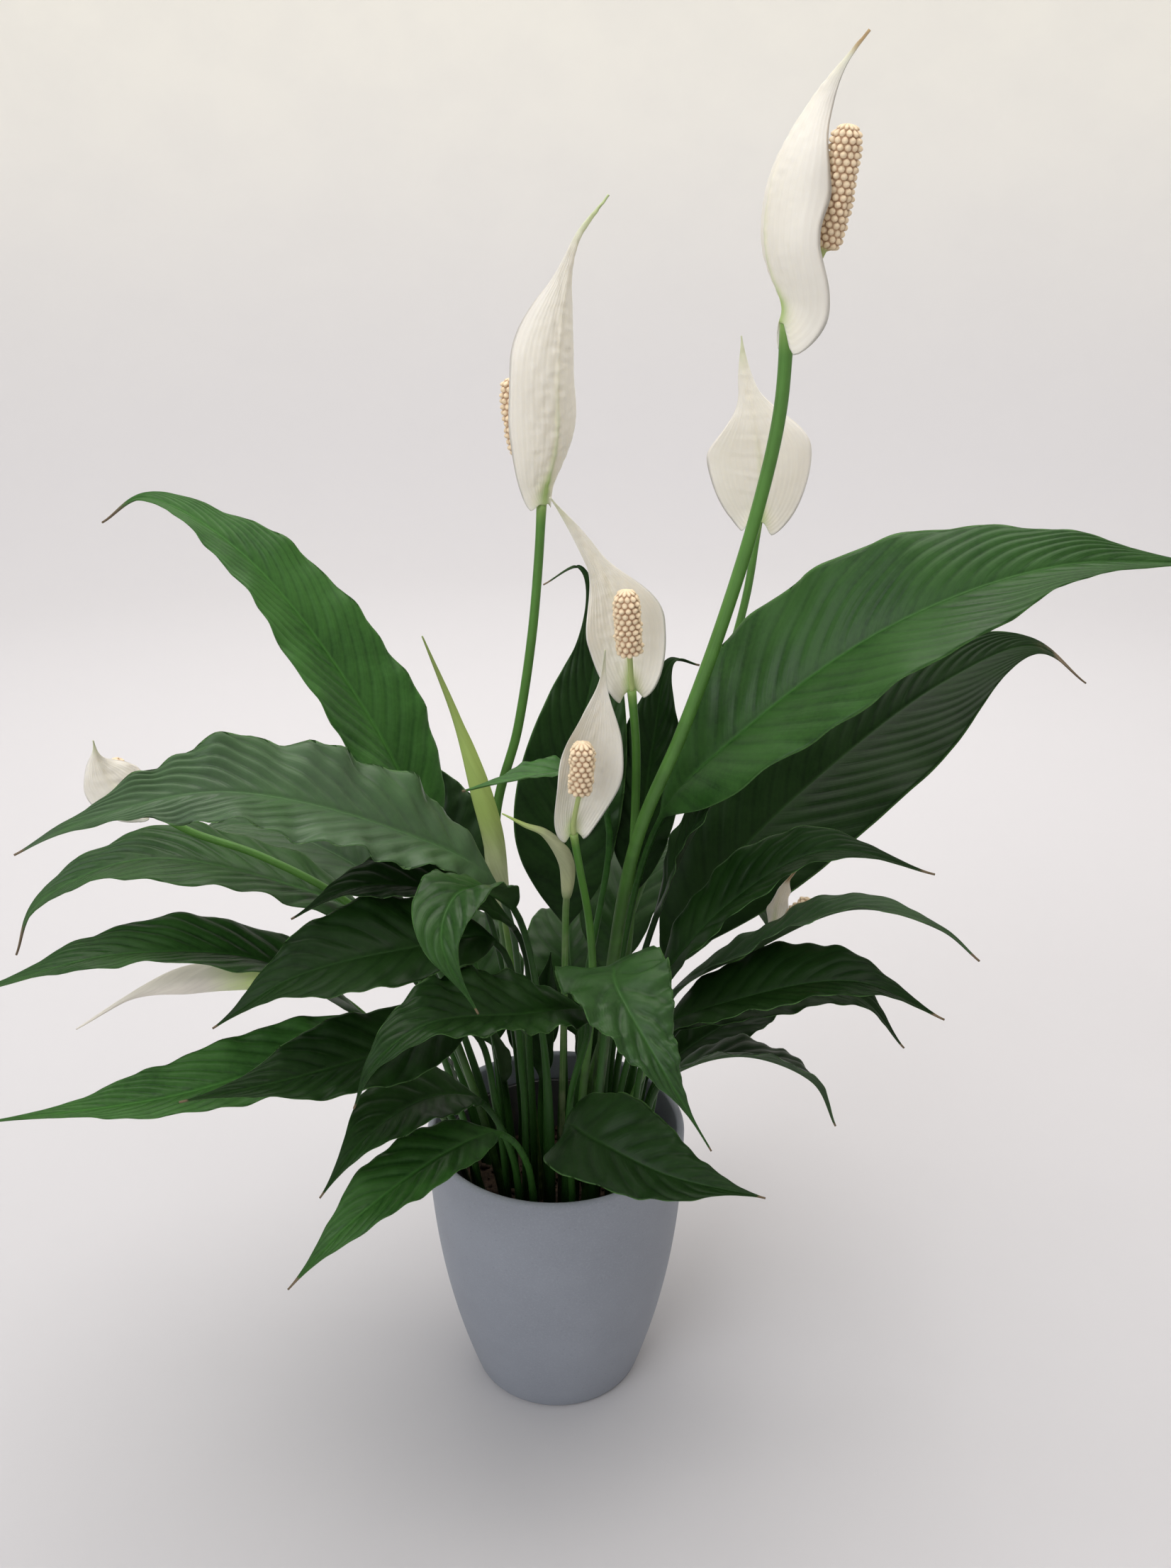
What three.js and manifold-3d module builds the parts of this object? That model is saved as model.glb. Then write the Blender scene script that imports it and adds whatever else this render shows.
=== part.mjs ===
// A potted peace lily: a clump of leaves and flowers growing from a peat root ball,
// in a thin plastic nursery pot that stands inside a glazed ceramic pot.
//
// Millimetres. The origin is the centre of the ceramic pot's foot, on the floor.
// +Z is up, +X is to the plant's right and +Y goes back through the plant.
//
// Every leaf, stalk, spathe and spadix is one lofted skin: an oval ring carried along a
// smooth curve. The curve's points are given from the middle of the soil's top.

import * as THREE from "three";
import { mergeVertices } from "three/addons/utils/BufferGeometryUtils.js";
import Module from "manifold-3d";

const wasm = await Module();
wasm.setup();

// ---- driving dimensions -------------------------------------------------------------

// ceramic pot
const POT_HEIGHT = 170;
const POT_RIM_RADIUS = 75;
const POT_FOOT_RADIUS = 50;
const POT_FOOT_EDGE = 3; // height of the rounding where the wall meets the foot
const POT_WALL = 4.5;
const POT_FLOOR = 7;
const POT_BULGE = 2.2; // power of the wall's outline: 1 is a cone, more is rounder

// nursery pot
const NURSERY_WALL = 1.2;
const NURSERY_FLOOR = 2;
const NURSERY_GAP = 3; // between its widest part and the ceramic wall
const NURSERY_BELOW_RIM = 16;
const NURSERY_RIM_HEIGHT = 8;
const NURSERY_RIM_STEP = 1.6; // how far the rim band stands out from the wall below
const NURSERY_FEET_HEIGHT = 3;
const DRAIN_HOLE_RADIUS = 4;
const DRAIN_HOLES = 6;
const DRAIN_HOLE_RING = 0.62; // radius of the ring of holes, as a share of the floor's

// soil
const SOIL_BELOW_RIM = 48;

// plant
const PLANT_REACH = 300; // from the middle of the pot to the furthest leaf tip, sideways
const PLANT_RISE = 610; // from the soil to the tallest flower's tip
const LEAF_THICKNESS = 1;
const LEAF_STALK_RADIUS = 2.1;
const LEAF_STALK_TAPER = 0.8; // a leaf stalk's radius at the blade, as a share of its foot's
const RIB_TIP_TAPER = 0.2; // the midrib's radius at the tip, as a share of the foot's
const BLADE_FLAT_AFTER = 0.15; // share of a blade over which the stalk flattens into it
const SPATHE_THICKNESS = 1;
const SPATHE_FULL = [0.7, 1.25]; // powers of a hood's outline, as for a leaf's
const SEAT_OFFSET = 0.55; // where the hood and the spike sit on the scape, in its radii
const SEAT_SHARE = 0.35; // how thick the hood and the spike are there, in the same radii
const SEAT_RISE = 1.5; // how far they rise straight before they bend, in the same radii
const ROOT_DEPTH = 10; // how far a stalk goes down into the soil

// gaps
const FACE_GAP = 0.3; // between pieces that touch
const ROOT_GAP = 0.3; // between a stalk and the soil round it

// fineness of the skins
const POT_SIDES = 36;
const RING_POINTS = 8;
const LEAF_STALK_STEPS = 4;
const BLADE_STEPS = 8;
const SCAPE_STEPS = 10;

// ---- sizes that follow --------------------------------------------------------------

const SOIL_LEVEL = POT_HEIGHT - SOIL_BELOW_RIM;
const NURSERY_BOTTOM = POT_FLOOR + FACE_GAP;
const NURSERY_TOP = POT_HEIGHT - NURSERY_BELOW_RIM;
const NURSERY_RIM_RADIUS = potRadius(NURSERY_TOP) - POT_WALL - NURSERY_GAP;
const NURSERY_TOP_RADIUS = NURSERY_RIM_RADIUS - NURSERY_RIM_STEP;
const POT_FLOOR_RADIUS = potRadius(POT_FLOOR) - 2 * POT_WALL;
const NURSERY_FLOOR_RADIUS = POT_FLOOR_RADIUS - NURSERY_GAP;

// The points below are drawn for a plant of this reach, rise and soil radius.
const DRAWN_REACH = 300;
const DRAWN_RISE = 610;
const DRAWN_SOIL_RADIUS = 58.7;
const CROWN_FADE = 70; // height over which the stalks stop following the soil's radius

// ---- colours ------------------------------------------------------------------------

const finish = (color, roughness, metalness = 0) =>
  new THREE.MeshStandardMaterial({ color, roughness, metalness });
const CERAMIC = finish(0x8790a0, 0.55);
const BLACK_PLASTIC = finish(0x17181a, 0.45);
const PEAT = finish(0x2a211b, 0.95);
const LEAF_GREEN = finish(0x2f5a34, 0.42);
const STALK_GREEN = finish(0x4c7a38, 0.5);
const SPATHE_WHITE = finish(0xece9e0, 0.6);
const SPADIX_CREAM = finish(0xe0c9a6, 0.7);
const BUD_GREEN = finish(0xa9b95a, 0.55);

// ---- the leaves ---------------------------------------------------------------------
// stalk: from the soil up to the blade. rib: the blade's midrib, from its base to its tip.
// width: the blade's widest. roll: how far its left side is lifted at the base and at the
// tip, in degrees. fold: how far each half rises from the midrib, in degrees. full: two
// powers that set how soon the blade widens and how long it tapers.

const LEAVES = [
  // left side, from the top down
  { name: "leaf_upper_left", width: 62, roll: [-28, -20],
    stalk: [[-24, 12, 0], [-36, 16, 100]],
    rib: [[-62, 22, 200], [-98, 30, 290], [-160, 45, 375], [-212, 60, 402], [-238, 66, 388]] },
  { name: "leaf_left_wavy", width: 66, roll: [-25, -30],
    stalk: [[-18, -10, 0], [-18, -22, 110]],
    rib: [[-30, -38, 222], [-80, -60, 266], [-155, -85, 296], [-215, -102, 288], [-242, -108, 276]] },
  { name: "leaf_left_drooping", width: 52, roll: [-8, -14], fold: 12,
    stalk: [[-30, -4, 0], [-50, -12, 90]],
    rib: [[-92, -26, 192], [-140, -38, 226], [-205, -52, 246], [-255, -62, 226], [-268, -64, 200]] },
  { name: "leaf_left_behind", width: 52, roll: [-15, -10],
    stalk: [[-32, 10, 0], [-48, 14, 80]],
    rib: [[-85, 22, 180], [-125, 38, 206], [-180, 60, 214], [-225, 80, 190]] },
  { name: "leaf_left_flat", width: 48, roll: [-6, -6],
    stalk: [[-38, -14, 0], [-60, -22, 70]],
    rib: [[-104, -40, 148], [-150, -58, 192], [-215, -80, 208], [-262, -95, 202], [-285, -100, 196]] },
  { name: "leaf_left_lowest", width: 44, roll: [-20, -15],
    stalk: [[-40, -24, 0], [-52, -36, 80]],
    rib: [[-72, -50, 146], [-120, -80, 150], [-185, -118, 152], [-260, -150, 162]] },
  { name: "leaf_left_glossy", width: 46, roll: [-32, -20],
    stalk: [[-26, -30, 0], [-32, -48, 90]],
    rib: [[-44, -72, 158], [-85, -105, 166], [-130, -135, 171], [-168, -156, 176]] },

  // front, over the rim
  { name: "leaf_front_left", width: 42, roll: [-18, -14],
    stalk: [[-20, -42, 0], [-24, -48, 60]],
    rib: [[-40, -58, 104], [-64, -84, 126], [-92, -122, 130], [-112, -144, 112]] },
  { name: "leaf_front_left_hanging", width: 38, roll: [-10, -10],
    stalk: [[-12, -46, 0], [-16, -54, 60]],
    rib: [[-30, -70, 92], [-58, -106, 106], [-98, -148, 100], [-128, -158, 70]] },
  { name: "leaf_dark_pointed", width: 60, roll: [-20, -20],
    stalk: [[-18, -32, 0], [-18, -44, 110]],
    rib: [[-30, -64, 204], [-72, -88, 214], [-124, -108, 210], [-160, -118, 190]] },
  { name: "leaf_dark_short", width: 44, roll: [-6, -16],
    stalk: [[-12, -18, 0], [-14, -30, 110]],
    rib: [[-20, -48, 202], [-58, -60, 231], [-98, -72, 239], [-126, -84, 229]] },
  { name: "leaf_front_curled", width: 36, roll: [-10, 0],
    stalk: [[-4, -30, 0], [-6, -45, 130]],
    rib: [[-20, -66, 224], [-44, -108, 254], [-50, -135, 244], [-34, -147, 214]] },
  { name: "leaf_front_draped", width: 56, roll: [-10, -10],
    stalk: [[4, -36, 0], [8, -50, 100]],
    rib: [[16, -70, 164], [-20, -108, 189], [-60, -144, 206], [-80, -158, 196], [-90, -160, 174]] },
  { name: "leaf_front_crinkled", width: 56, roll: [10, 10], full: [0.6, 2.3],
    stalk: [[20, -34, 0], [24, -46, 110]],
    rib: [[30, -66, 190], [30, -96, 196], [50, -130, 172], [73, -142, 134]] },
  { name: "leaf_front_right_low", width: 56, roll: [30, 10], full: [0.6, 1.3],
    stalk: [[10, -48, 0], [8, -52, 50]],
    rib: [[6, -58, 88], [20, -84, 98], [56, -106, 92], [104, -120, 88]] },

  // right side, from the bottom up
  { name: "leaf_right_edge_on", width: 34, roll: [-10, -30],
    stalk: [[44, -22, 0], [48, -28, 50]],
    rib: [[60, -34, 100], [100, -44, 122], [138, -52, 110], [152, -54, 82]] },
  { name: "leaf_right_lowest", width: 44, roll: [15, 15],
    stalk: [[46, 0, 0], [50, 2, 40]],
    rib: [[62, 6, 78], [95, 22, 96], [130, 40, 104], [160, 52, 95]] },
  { name: "leaf_right_middle", width: 56, roll: [5, 10],
    stalk: [[36, -34, 0], [42, -44, 80]],
    rib: [[54, -56, 144], [96, -68, 172], [150, -84, 190], [192, -94, 174]] },
  { name: "leaf_right_behind", width: 42, roll: [15, 15],
    stalk: [[48, -10, 0], [54, -14, 60]],
    rib: [[68, -18, 122], [105, -24, 142], [160, -32, 152], [190, -37, 120]] },
  { name: "leaf_right_slender", width: 32, roll: [0, -8],
    stalk: [[38, -14, 0], [46, -24, 80]],
    rib: [[64, -34, 155], [98, -50, 188], [150, -66, 222], [190, -78, 216], [210, -82, 200]] },
  { name: "leaf_right_long_tip", width: 46, roll: [20, 10],
    stalk: [[30, -20, 0], [36, -30, 90]],
    rib: [[54, -39, 160], [90, -46, 215], [136, -58, 250], [188, -66, 240]] },
  { name: "leaf_right_broad", width: 88, roll: [45, 30], fold: 8,
    stalk: [[34, 4, 0], [44, 6, 70]],
    rib: [[62, 8, 150], [100, 24, 205], [155, 48, 250], [225, 76, 292], [280, 96, 306], [318, 105, 280]] },
  { name: "leaf_right_folded", width: 34, roll: [20, 10],
    stalk: [[30, -6, 0], [36, -12, 100]],
    rib: [[54, -20, 192], [76, -28, 255], [108, -36, 300], [138, -46, 338]] },
  { name: "leaf_upper_right", width: 92, roll: [38, 32],
    stalk: [[22, -12, 0], [32, -14, 130]],
    rib: [[56, -24, 254], [98, -38, 310], [162, -50, 364], [232, -56, 392], [300, -60, 394]] },

  // middle and back
  { name: "leaf_middle_tall", width: 64, heading: 90, full: [1, 2],
    stalk: [[4, 16, 0], [5, 24, 80]],
    rib: [[7, 32, 160], [10, 46, 245], [24, 58, 320], [16, 66, 362], [-4, 68, 352]] },
  { name: "leaf_middle_dark", width: 42, heading: 70,
    stalk: [[24, 10, 0], [34, 20, 90]],
    rib: [[46, 32, 182], [56, 44, 270], [66, 54, 312], [82, 60, 308]] },
  { name: "leaf_middle_small", width: 26,
    stalk: [[10, -14, 0], [16, -18, 140]],
    rib: [[28, -18, 252], [6, -34, 282], [-22, -46, 284], [-44, -54, 282]] },
  { name: "leaf_back_left_upright", width: 56, heading: 110,
    stalk: [[-16, 24, 0], [-24, 28, 90]],
    rib: [[-40, 34, 175], [-64, 46, 215], [-84, 62, 246], [-98, 74, 240]] },
  { name: "leaf_back_right", width: 56,
    stalk: [[34, 30, 0], [48, 44, 60]],
    rib: [[68, 66, 112], [100, 100, 130], [130, 136, 118], [148, 156, 84]] },
  { name: "leaf_back_right_high", width: 60,
    stalk: [[14, 32, 0], [20, 44, 60]],
    rib: [[30, 60, 112], [46, 88, 152], [70, 128, 166], [92, 164, 140]] },
  { name: "leaf_back", width: 60,
    stalk: [[17, 42, 0], [17, 54, 30]],
    rib: [[14, 70, 62], [10, 98, 96], [10, 134, 112], [14, 170, 98]] },
  { name: "leaf_back_left_low", width: 60,
    stalk: [[-31, 34, 0], [-34, 44, 30]],
    rib: [[-38, 60, 62], [-50, 88, 98], [-66, 122, 116], [-80, 156, 102]] },
  { name: "leaf_back_left", width: 52,
    stalk: [[-40, 22, 0], [-58, 34, 60]],
    rib: [[-84, 52, 114], [-124, 80, 126], [-160, 106, 104], [-176, 120, 72]] },
];

// ---- the flowers --------------------------------------------------------------------
// scape: the bare stalk, from the soil to the flower. spathe: the hood's midrib, from above
// the scape's top to its tip. faces: the side that the hood opens to, in degrees from +X
// towards +Y. spadix: the knobbly spike, from where it thickens to its top. The hood and
// the spike's thin neck both start on the scape's top.

const FLOWERS = [
  { name: "flower_right_tall", radii: [3.6, 3], faces: 15, width: 54, fold: 38, spadixRadius: 6.5,
    scape: [[16, -24, 0], [24, -32, 100], [41, -41, 244], [63, -45, 308], [80, -47, 362], [94, -51, 418],
      [101, -56, 462], [102, -58, 500]],
    spathe: [[92, -56, 528], [94, -52, 556], [108, -50, 584], [129, -55, 610]],
    spadix: [[116, -58, 531], [120, -59, 553], [122, -60, 576]] },
  { name: "flower_left_tall", radii: [2.9, 2.3], faces: 130, width: 46, fold: 30, spadixRadius: 5.5,
    scape: [[-8, 2, 0], [-20, 6, 100], [-31, 10, 236], [-18, 10, 290], [-10, 8, 340], [-6, 6, 380],
      [-4, 5, 410]],
    spathe: [[3, -3, 440], [4, -5, 474], [7, -1, 504], [14, 4, 530], [28, 6, 549]],
    spadix: [[-14, 12, 434], [-17, 14, 450], [-18, 15, 468]] },
  { name: "flower_back_right", radii: [2.6, 2.1], faces: 80, width: 54, fold: 15, spadixRadius: 5.5,
    scape: [[20, 26, 0], [34, 40, 120], [66, 48, 224], [92, 46, 300], [104, 45, 350], [109, 46, 392]],
    spathe: [[108, 42, 420], [103, 40, 445], [98, 42, 465], [96, 46, 484]],
    spadix: [[109, 54, 410], [108, 57, 428], [106, 58, 446]] },
  { name: "flower_middle", radii: [2.6, 2.1], faces: 285, width: 42, fold: 15, spadixRadius: 6.5,
    scape: [[8, -4, 0], [20, -6, 80], [39, -8, 160], [42, -16, 230], [42, -28, 292], [39, -33, 326]],
    spathe: [[35, -28, 351], [28, -26, 374], [14, -28, 400], [0, -32, 420]],
    spadix: [[37, -44, 350], [36, -46, 363], [35, -47, 380]] },
  { name: "flower_middle_low", radii: [2.4, 1.9], faces: 285, width: 32, fold: 18, spadixRadius: 6,
    scape: [[8, -26, 0], [14, -34, 80], [20, -43, 164], [18, -49, 206], [13, -55, 240], [10, -57, 260]],
    spathe: [[16, -53, 290], [21, -52, 316], [24, -54, 338], [25, -57, 354]],
    spadix: [[13, -66, 288], [14, -68, 300], [14, -69, 313]] },
  { name: "flower_left_turned_away", radii: [2.4, 1.8], faces: 120, width: 30, fold: 25, spadixRadius: 5,
    scape: [[-28, -16, 0], [-44, -22, 80], [-72, -34, 172], [-108, -39, 216], [-148, -42, 243],
      [-180, -45, 258], [-198, -48, 272]],
    spathe: [[-210, -52, 284], [-217, -53, 296], [-218, -54, 310]],
    spadix: [[-206, -37, 280], [-212, -38, 287], [-216, -39, 294]] },
  { name: "flower_right_old", radii: [2, 1.5], faces: 300, width: 14, fold: 20, spadixRadius: 5,
    scape: [[30, -28, 0], [40, -33, 80], [62, -33, 130], [92, -31, 168], [109, -34, 184], [114, -35, 194]],
    spathe: [[116, -32, 206], [119, -33, 217], [125, -37, 229]],
    spadix: [[123, -39, 202], [129, -40, 208], [133, -41, 213]] },
];

// ---- the buds -----------------------------------------------------------------------
// A bud is one piece with its stalk. path: from the soil to the bud's tip. bud: where
// along the path it starts to swell, from 0 to 1.

const BUDS = [
  { name: "bud_furled", radius: 2.1, budRadius: 6.5, start: 0.56, material: BUD_GREEN,
    path: [[-8, -10, 0], [-16, -14, 100], [-29, -14, 214], [-32, -14, 240], [-37, -14, 263], [-43, -14, 287],
      [-50, -13, 310], [-64, -10, 347]] },
  { name: "bud_withered", radius: 1.8, budRadius: 4.5, start: 0.76, material: BUD_GREEN,
    path: [[2, -16, 0], [4, -26, 100], [6, -34, 200], [6, -38, 236], [-4, -43, 254], [-14, -46, 260],
      [-25, -50, 268]] },
  { name: "bud_closed_left", radius: 2, budRadius: 8.5, start: 0.66, material: SPATHE_WHITE,
    path: [[-46, -10, 0], [-70, -18, 80], [-118, -35, 158], [-150, -38, 169], [-180, -45, 175],
      [-212, -52, 171], [-245, -62, 155]] },
];

// ---- curves and skins ---------------------------------------------------------------

// A drawn point in the part's frame. Up to the rim it moves out or in with the soil's
// radius, and that fades away above the rim.
function planted([x, y, z]) {
  const soilShare = soilRadius(0) / DRAWN_SOIL_RADIUS;
  const fade = THREE.MathUtils.smoothstep(z, SOIL_BELOW_RIM, SOIL_BELOW_RIM + CROWN_FADE);
  const spread = THREE.MathUtils.lerp(soilShare, PLANT_REACH / DRAWN_REACH, fade);
  return new THREE.Vector3(x * spread, y * spread, SOIL_LEVEL + (z * PLANT_RISE) / DRAWN_RISE);
}

// The smooth curve through the points, and the share of its length at one of them.
function curveThrough(points) {
  return new THREE.CatmullRomCurve3(points, false, "centripetal");
}
function shareAt(curve, index) {
  const perPoint = 20;
  const lengths = curve.getLengths(perPoint * (curve.points.length - 1));
  return lengths[perPoint * index] / lengths[lengths.length - 1];
}

// A closed skin over rings of points, with a fan over each end.
function skin(rings) {
  const count = rings[0].length;
  const middle = (ring) =>
    ring.reduce((sum, p) => sum.add(p), new THREE.Vector3()).divideScalar(count);
  const points = [...rings.flat(), middle(rings[0]), middle(rings[rings.length - 1])];
  const first = points.length - 2;
  const last = points.length - 1;
  const lastRing = (rings.length - 1) * count;
  const faces = [];
  for (let i = 0; i < count; i++) {
    const next = (i + 1) % count;
    faces.push(first, next, i);
    faces.push(last, lastRing + i, lastRing + next);
    for (let ring = 0; ring < rings.length - 1; ring++) {
      const a = ring * count;
      const b = a + count;
      faces.push(a + i, a + next, b + next, a + i, b + next, b + i);
    }
  }
  return new THREE.BufferGeometry().setFromPoints(points).setIndex(faces);
}

// Rings along a curve. At each share of its length, shapeAt gives the ring's half width,
// half thickness, the rise of its halves and its roll. The ring lies across the heading.
function rings(curve, shares, heading, shapeAt) {
  const across = new THREE.Vector3(-Math.sin(heading), Math.cos(heading), 0);
  return shares.map((share) => {
    const centre = curve.getPointAt(share);
    const along = curve.getTangentAt(share);
    const left = across.clone().addScaledVector(along, -across.dot(along)).normalize();
    const { halfWidth, halfThickness, rise, roll } = shapeAt(share);
    left.applyAxisAngle(along, roll);
    const up = along.clone().cross(left);
    const ring = [];
    for (let i = 0; i < RING_POINTS; i++) {
      const angle = (2 * Math.PI * i) / RING_POINTS;
      const sideways = halfWidth * Math.cos(angle);
      const lift = halfThickness * Math.sin(angle) + Math.abs(sideways) * Math.tan(rise);
      ring.push(
        centre.clone()
          .addScaledVector(left, sideways * Math.cos(rise))
          .addScaledVector(up, lift * Math.cos(rise)),
      );
    }
    return ring;
  });
}

function steps(from, to, count) {
  return Array.from({ length: count + 1 }, (_, i) => from + ((to - from) * i) / count);
}

// A blade's width along its length, 1 at its widest: t^wide * (1 - t)^taper.
function bladeOutline(t, [wide, taper]) {
  const peak = wide / (wide + taper);
  return (t ** wide * (1 - t) ** taper) / (peak ** wide * (1 - peak) ** taper);
}

// A round stalk along a curve, at these shares of it, tapering between two radii.
function stalkSkin(curve, heading, shares, [foot, top], extra = 0) {
  return skin(
    rings(curve, shares, heading, (share) => {
      const radius = THREE.MathUtils.lerp(foot, top, share) + extra;
      return { halfWidth: radius, halfThickness: radius, rise: 0, roll: 0 };
    }),
  );
}

// The hole in the soil round a stalk's foot: the stalk's own skin, grown by the gap.
function socketSkin(curve, heading, shares, radii) {
  const deeper = curve.points.map((p) => p.clone());
  deeper[0].z -= ROOT_GAP;
  return stalkSkin(curveThrough(deeper), heading, shares.slice(0, 2), radii, ROOT_GAP);
}

// The points of a stalk, with its foot carried down into the soil.
function rooted(points) {
  const [foot, ...rest] = points.map(planted);
  return [new THREE.Vector3(foot.x, foot.y, foot.z - ROOT_DEPTH), ...rest];
}

// ---- sub-parts ----------------------------------------------------------------------

// The ceramic pot's outer radius at a height: full at the rim and turning in faster and
// faster towards the foot, with the corner at the foot rounded.
function potRadius(height) {
  const up = height / POT_HEIGHT;
  const bulge = 1 - (1 - up) ** POT_BULGE;
  const radius = POT_FOOT_RADIUS + (POT_RIM_RADIUS - POT_FOOT_RADIUS) * bulge;
  const edge = Math.max(0, 1 - height / POT_FOOT_EDGE);
  return radius - POT_FOOT_EDGE * (1 - Math.sqrt(1 - edge * edge));
}

function soilRadius(belowTop) {
  const height = SOIL_LEVEL - belowTop;
  const up = (height - NURSERY_BOTTOM) / (NURSERY_TOP - NURSERY_BOTTOM);
  const inner = THREE.MathUtils.lerp(NURSERY_FLOOR_RADIUS, NURSERY_TOP_RADIUS, up) - NURSERY_WALL;
  return inner - FACE_GAP;
}

function decorativePot() {
  const profile = [[0, 0]];
  for (const share of [0, 0.35, 1]) {
    profile.push([potRadius(share * POT_FOOT_EDGE), share * POT_FOOT_EDGE]);
  }
  const lipRadius = POT_WALL / 2;
  const wallTop = POT_HEIGHT - lipRadius;
  for (const up of steps(POT_FOOT_EDGE, wallTop, 7).slice(1)) profile.push([potRadius(up), up]);
  for (const turn of [45, 90, 135]) {
    const angle = THREE.MathUtils.degToRad(turn);
    profile.push([
      potRadius(wallTop) - lipRadius + lipRadius * Math.cos(angle),
      wallTop + lipRadius * Math.sin(angle),
    ]);
  }
  for (const up of steps(wallTop, POT_FLOOR + POT_WALL, 6)) {
    profile.push([potRadius(up) - POT_WALL, up]);
  }
  profile.push([POT_FLOOR_RADIUS, POT_FLOOR], [0, POT_FLOOR]);
  return lathe(profile);
}

function nurseryPot() {
  const bandFoot = NURSERY_TOP - NURSERY_RIM_HEIGHT;
  const wallAt = (height) => {
    const up = (height - NURSERY_BOTTOM) / (NURSERY_TOP - NURSERY_BOTTOM);
    return THREE.MathUtils.lerp(NURSERY_FLOOR_RADIUS, NURSERY_TOP_RADIUS, up);
  };
  const floorUnder = NURSERY_BOTTOM + NURSERY_FEET_HEIGHT;
  const floorTop = floorUnder + NURSERY_FLOOR;
  const pot = solidOf(
    lathe([
      [0, floorUnder],
      [NURSERY_FLOOR_RADIUS - 2 * NURSERY_WALL, floorUnder],
      [NURSERY_FLOOR_RADIUS - NURSERY_WALL, NURSERY_BOTTOM],
      [NURSERY_FLOOR_RADIUS, NURSERY_BOTTOM],
      [wallAt(bandFoot), bandFoot],
      [NURSERY_RIM_RADIUS, bandFoot],
      [NURSERY_RIM_RADIUS, NURSERY_TOP],
      [wallAt(NURSERY_TOP) - NURSERY_WALL, NURSERY_TOP],
      [wallAt(floorTop) - NURSERY_WALL, floorTop],
      [0, floorTop],
    ]),
  );
  const hole = new THREE.CylinderGeometry(DRAIN_HOLE_RADIUS, DRAIN_HOLE_RADIUS, 3 * NURSERY_FLOOR, 12);
  hole.rotateX(Math.PI / 2);
  hole.translate(NURSERY_FLOOR_RADIUS * DRAIN_HOLE_RING, 0, floorUnder + NURSERY_FLOOR / 2);
  let drilled = pot;
  for (let i = 0; i < DRAIN_HOLES; i++) {
    const turned = hole.clone().rotateZ((2 * Math.PI * i) / DRAIN_HOLES);
    drilled = drilled.subtract(solidOf(turned));
  }
  return geometryOf(drilled);
}

// The root ball, with a socket for every stalk's foot.
function soil(sockets) {
  const bottom = NURSERY_BOTTOM + NURSERY_FEET_HEIGHT + NURSERY_FLOOR + FACE_GAP;
  const ball = lathe([
    [0, bottom],
    [soilRadius(SOIL_LEVEL - bottom), bottom],
    [soilRadius(0), SOIL_LEVEL],
    [0, SOIL_LEVEL],
  ]);
  return geometryOf(sockets.reduce((left, socket) => left.subtract(solidOf(socket)), solidOf(ball)));
}

function lathe(profile) {
  const outline = profile.map(([radius, height]) => new THREE.Vector2(radius, height));
  return new THREE.LatheGeometry(outline, POT_SIDES).rotateX(Math.PI / 2);
}

function leaf({ stalk, rib, width, roll = [0, 0], fold = 18, heading, full = [0.9, 1.35] }) {
  const points = [...rooted(stalk), ...rib.map(planted)];
  const curve = curveThrough(points);
  const baseIndex = stalk.length;
  const base = shareAt(curve, baseIndex);
  const run = points[points.length - 1].clone().sub(points[baseIndex]);
  const headed = heading === undefined ? Math.atan2(run.y, run.x) : THREE.MathUtils.degToRad(heading);
  const stalkShares = steps(0, base, LEAF_STALK_STEPS);
  const shares = [...stalkShares, ...steps(base, 1, BLADE_STEPS).slice(1)];
  const geometry = skin(
    rings(curve, shares, headed, (share) => {
      const t = Math.max(0, (share - base) / (1 - base));
      const taper = share < base ? THREE.MathUtils.lerp(1, LEAF_STALK_TAPER, share / base)
        : THREE.MathUtils.lerp(LEAF_STALK_TAPER, RIB_TIP_TAPER, t);
      const radius = LEAF_STALK_RADIUS * taper;
      const flat = THREE.MathUtils.smoothstep(t, 0, BLADE_FLAT_AFTER);
      return {
        halfWidth: Math.hypot((width / 2) * bladeOutline(t, full), radius),
        halfThickness: THREE.MathUtils.lerp(radius, LEAF_THICKNESS / 2, flat),
        rise: THREE.MathUtils.degToRad(fold) * flat,
        roll: THREE.MathUtils.degToRad(THREE.MathUtils.lerp(roll[0], roll[1], t)),
      };
    }),
  );
  const radii = [LEAF_STALK_RADIUS, LEAF_STALK_RADIUS];
  return { geometry, socket: socketSkin(curve, headed, stalkShares, radii) };
}

// The bare stalk of a flower.
function scapePiece({ scape, radii }) {
  const curve = curveThrough(rooted(scape));
  const shares = steps(0, 1, SCAPE_STEPS);
  return { geometry: stalkSkin(curve, 0, shares, radii), socket: socketSkin(curve, 0, shares, radii) };
}

// The curve of a piece that sits on the scape's top: it starts this far from the scape's
// middle towards the side that the flower faces, and rises straight before it bends away.
function seatedCurve({ scape, radii, faces }, offset, points) {
  const stalk = curveThrough(rooted(scape));
  const along = stalk.getTangentAt(1);
  const facing = THREE.MathUtils.degToRad(faces);
  const start = stalk.getPointAt(1)
    .addScaledVector(along, FACE_GAP)
    .add(new THREE.Vector3(Math.cos(facing), Math.sin(facing), 0).multiplyScalar(offset * radii[1]));
  const straight = start.clone().addScaledVector(along, SEAT_RISE * radii[1]);
  return curveThrough([start, straight, ...points.map(planted)]);
}

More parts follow.
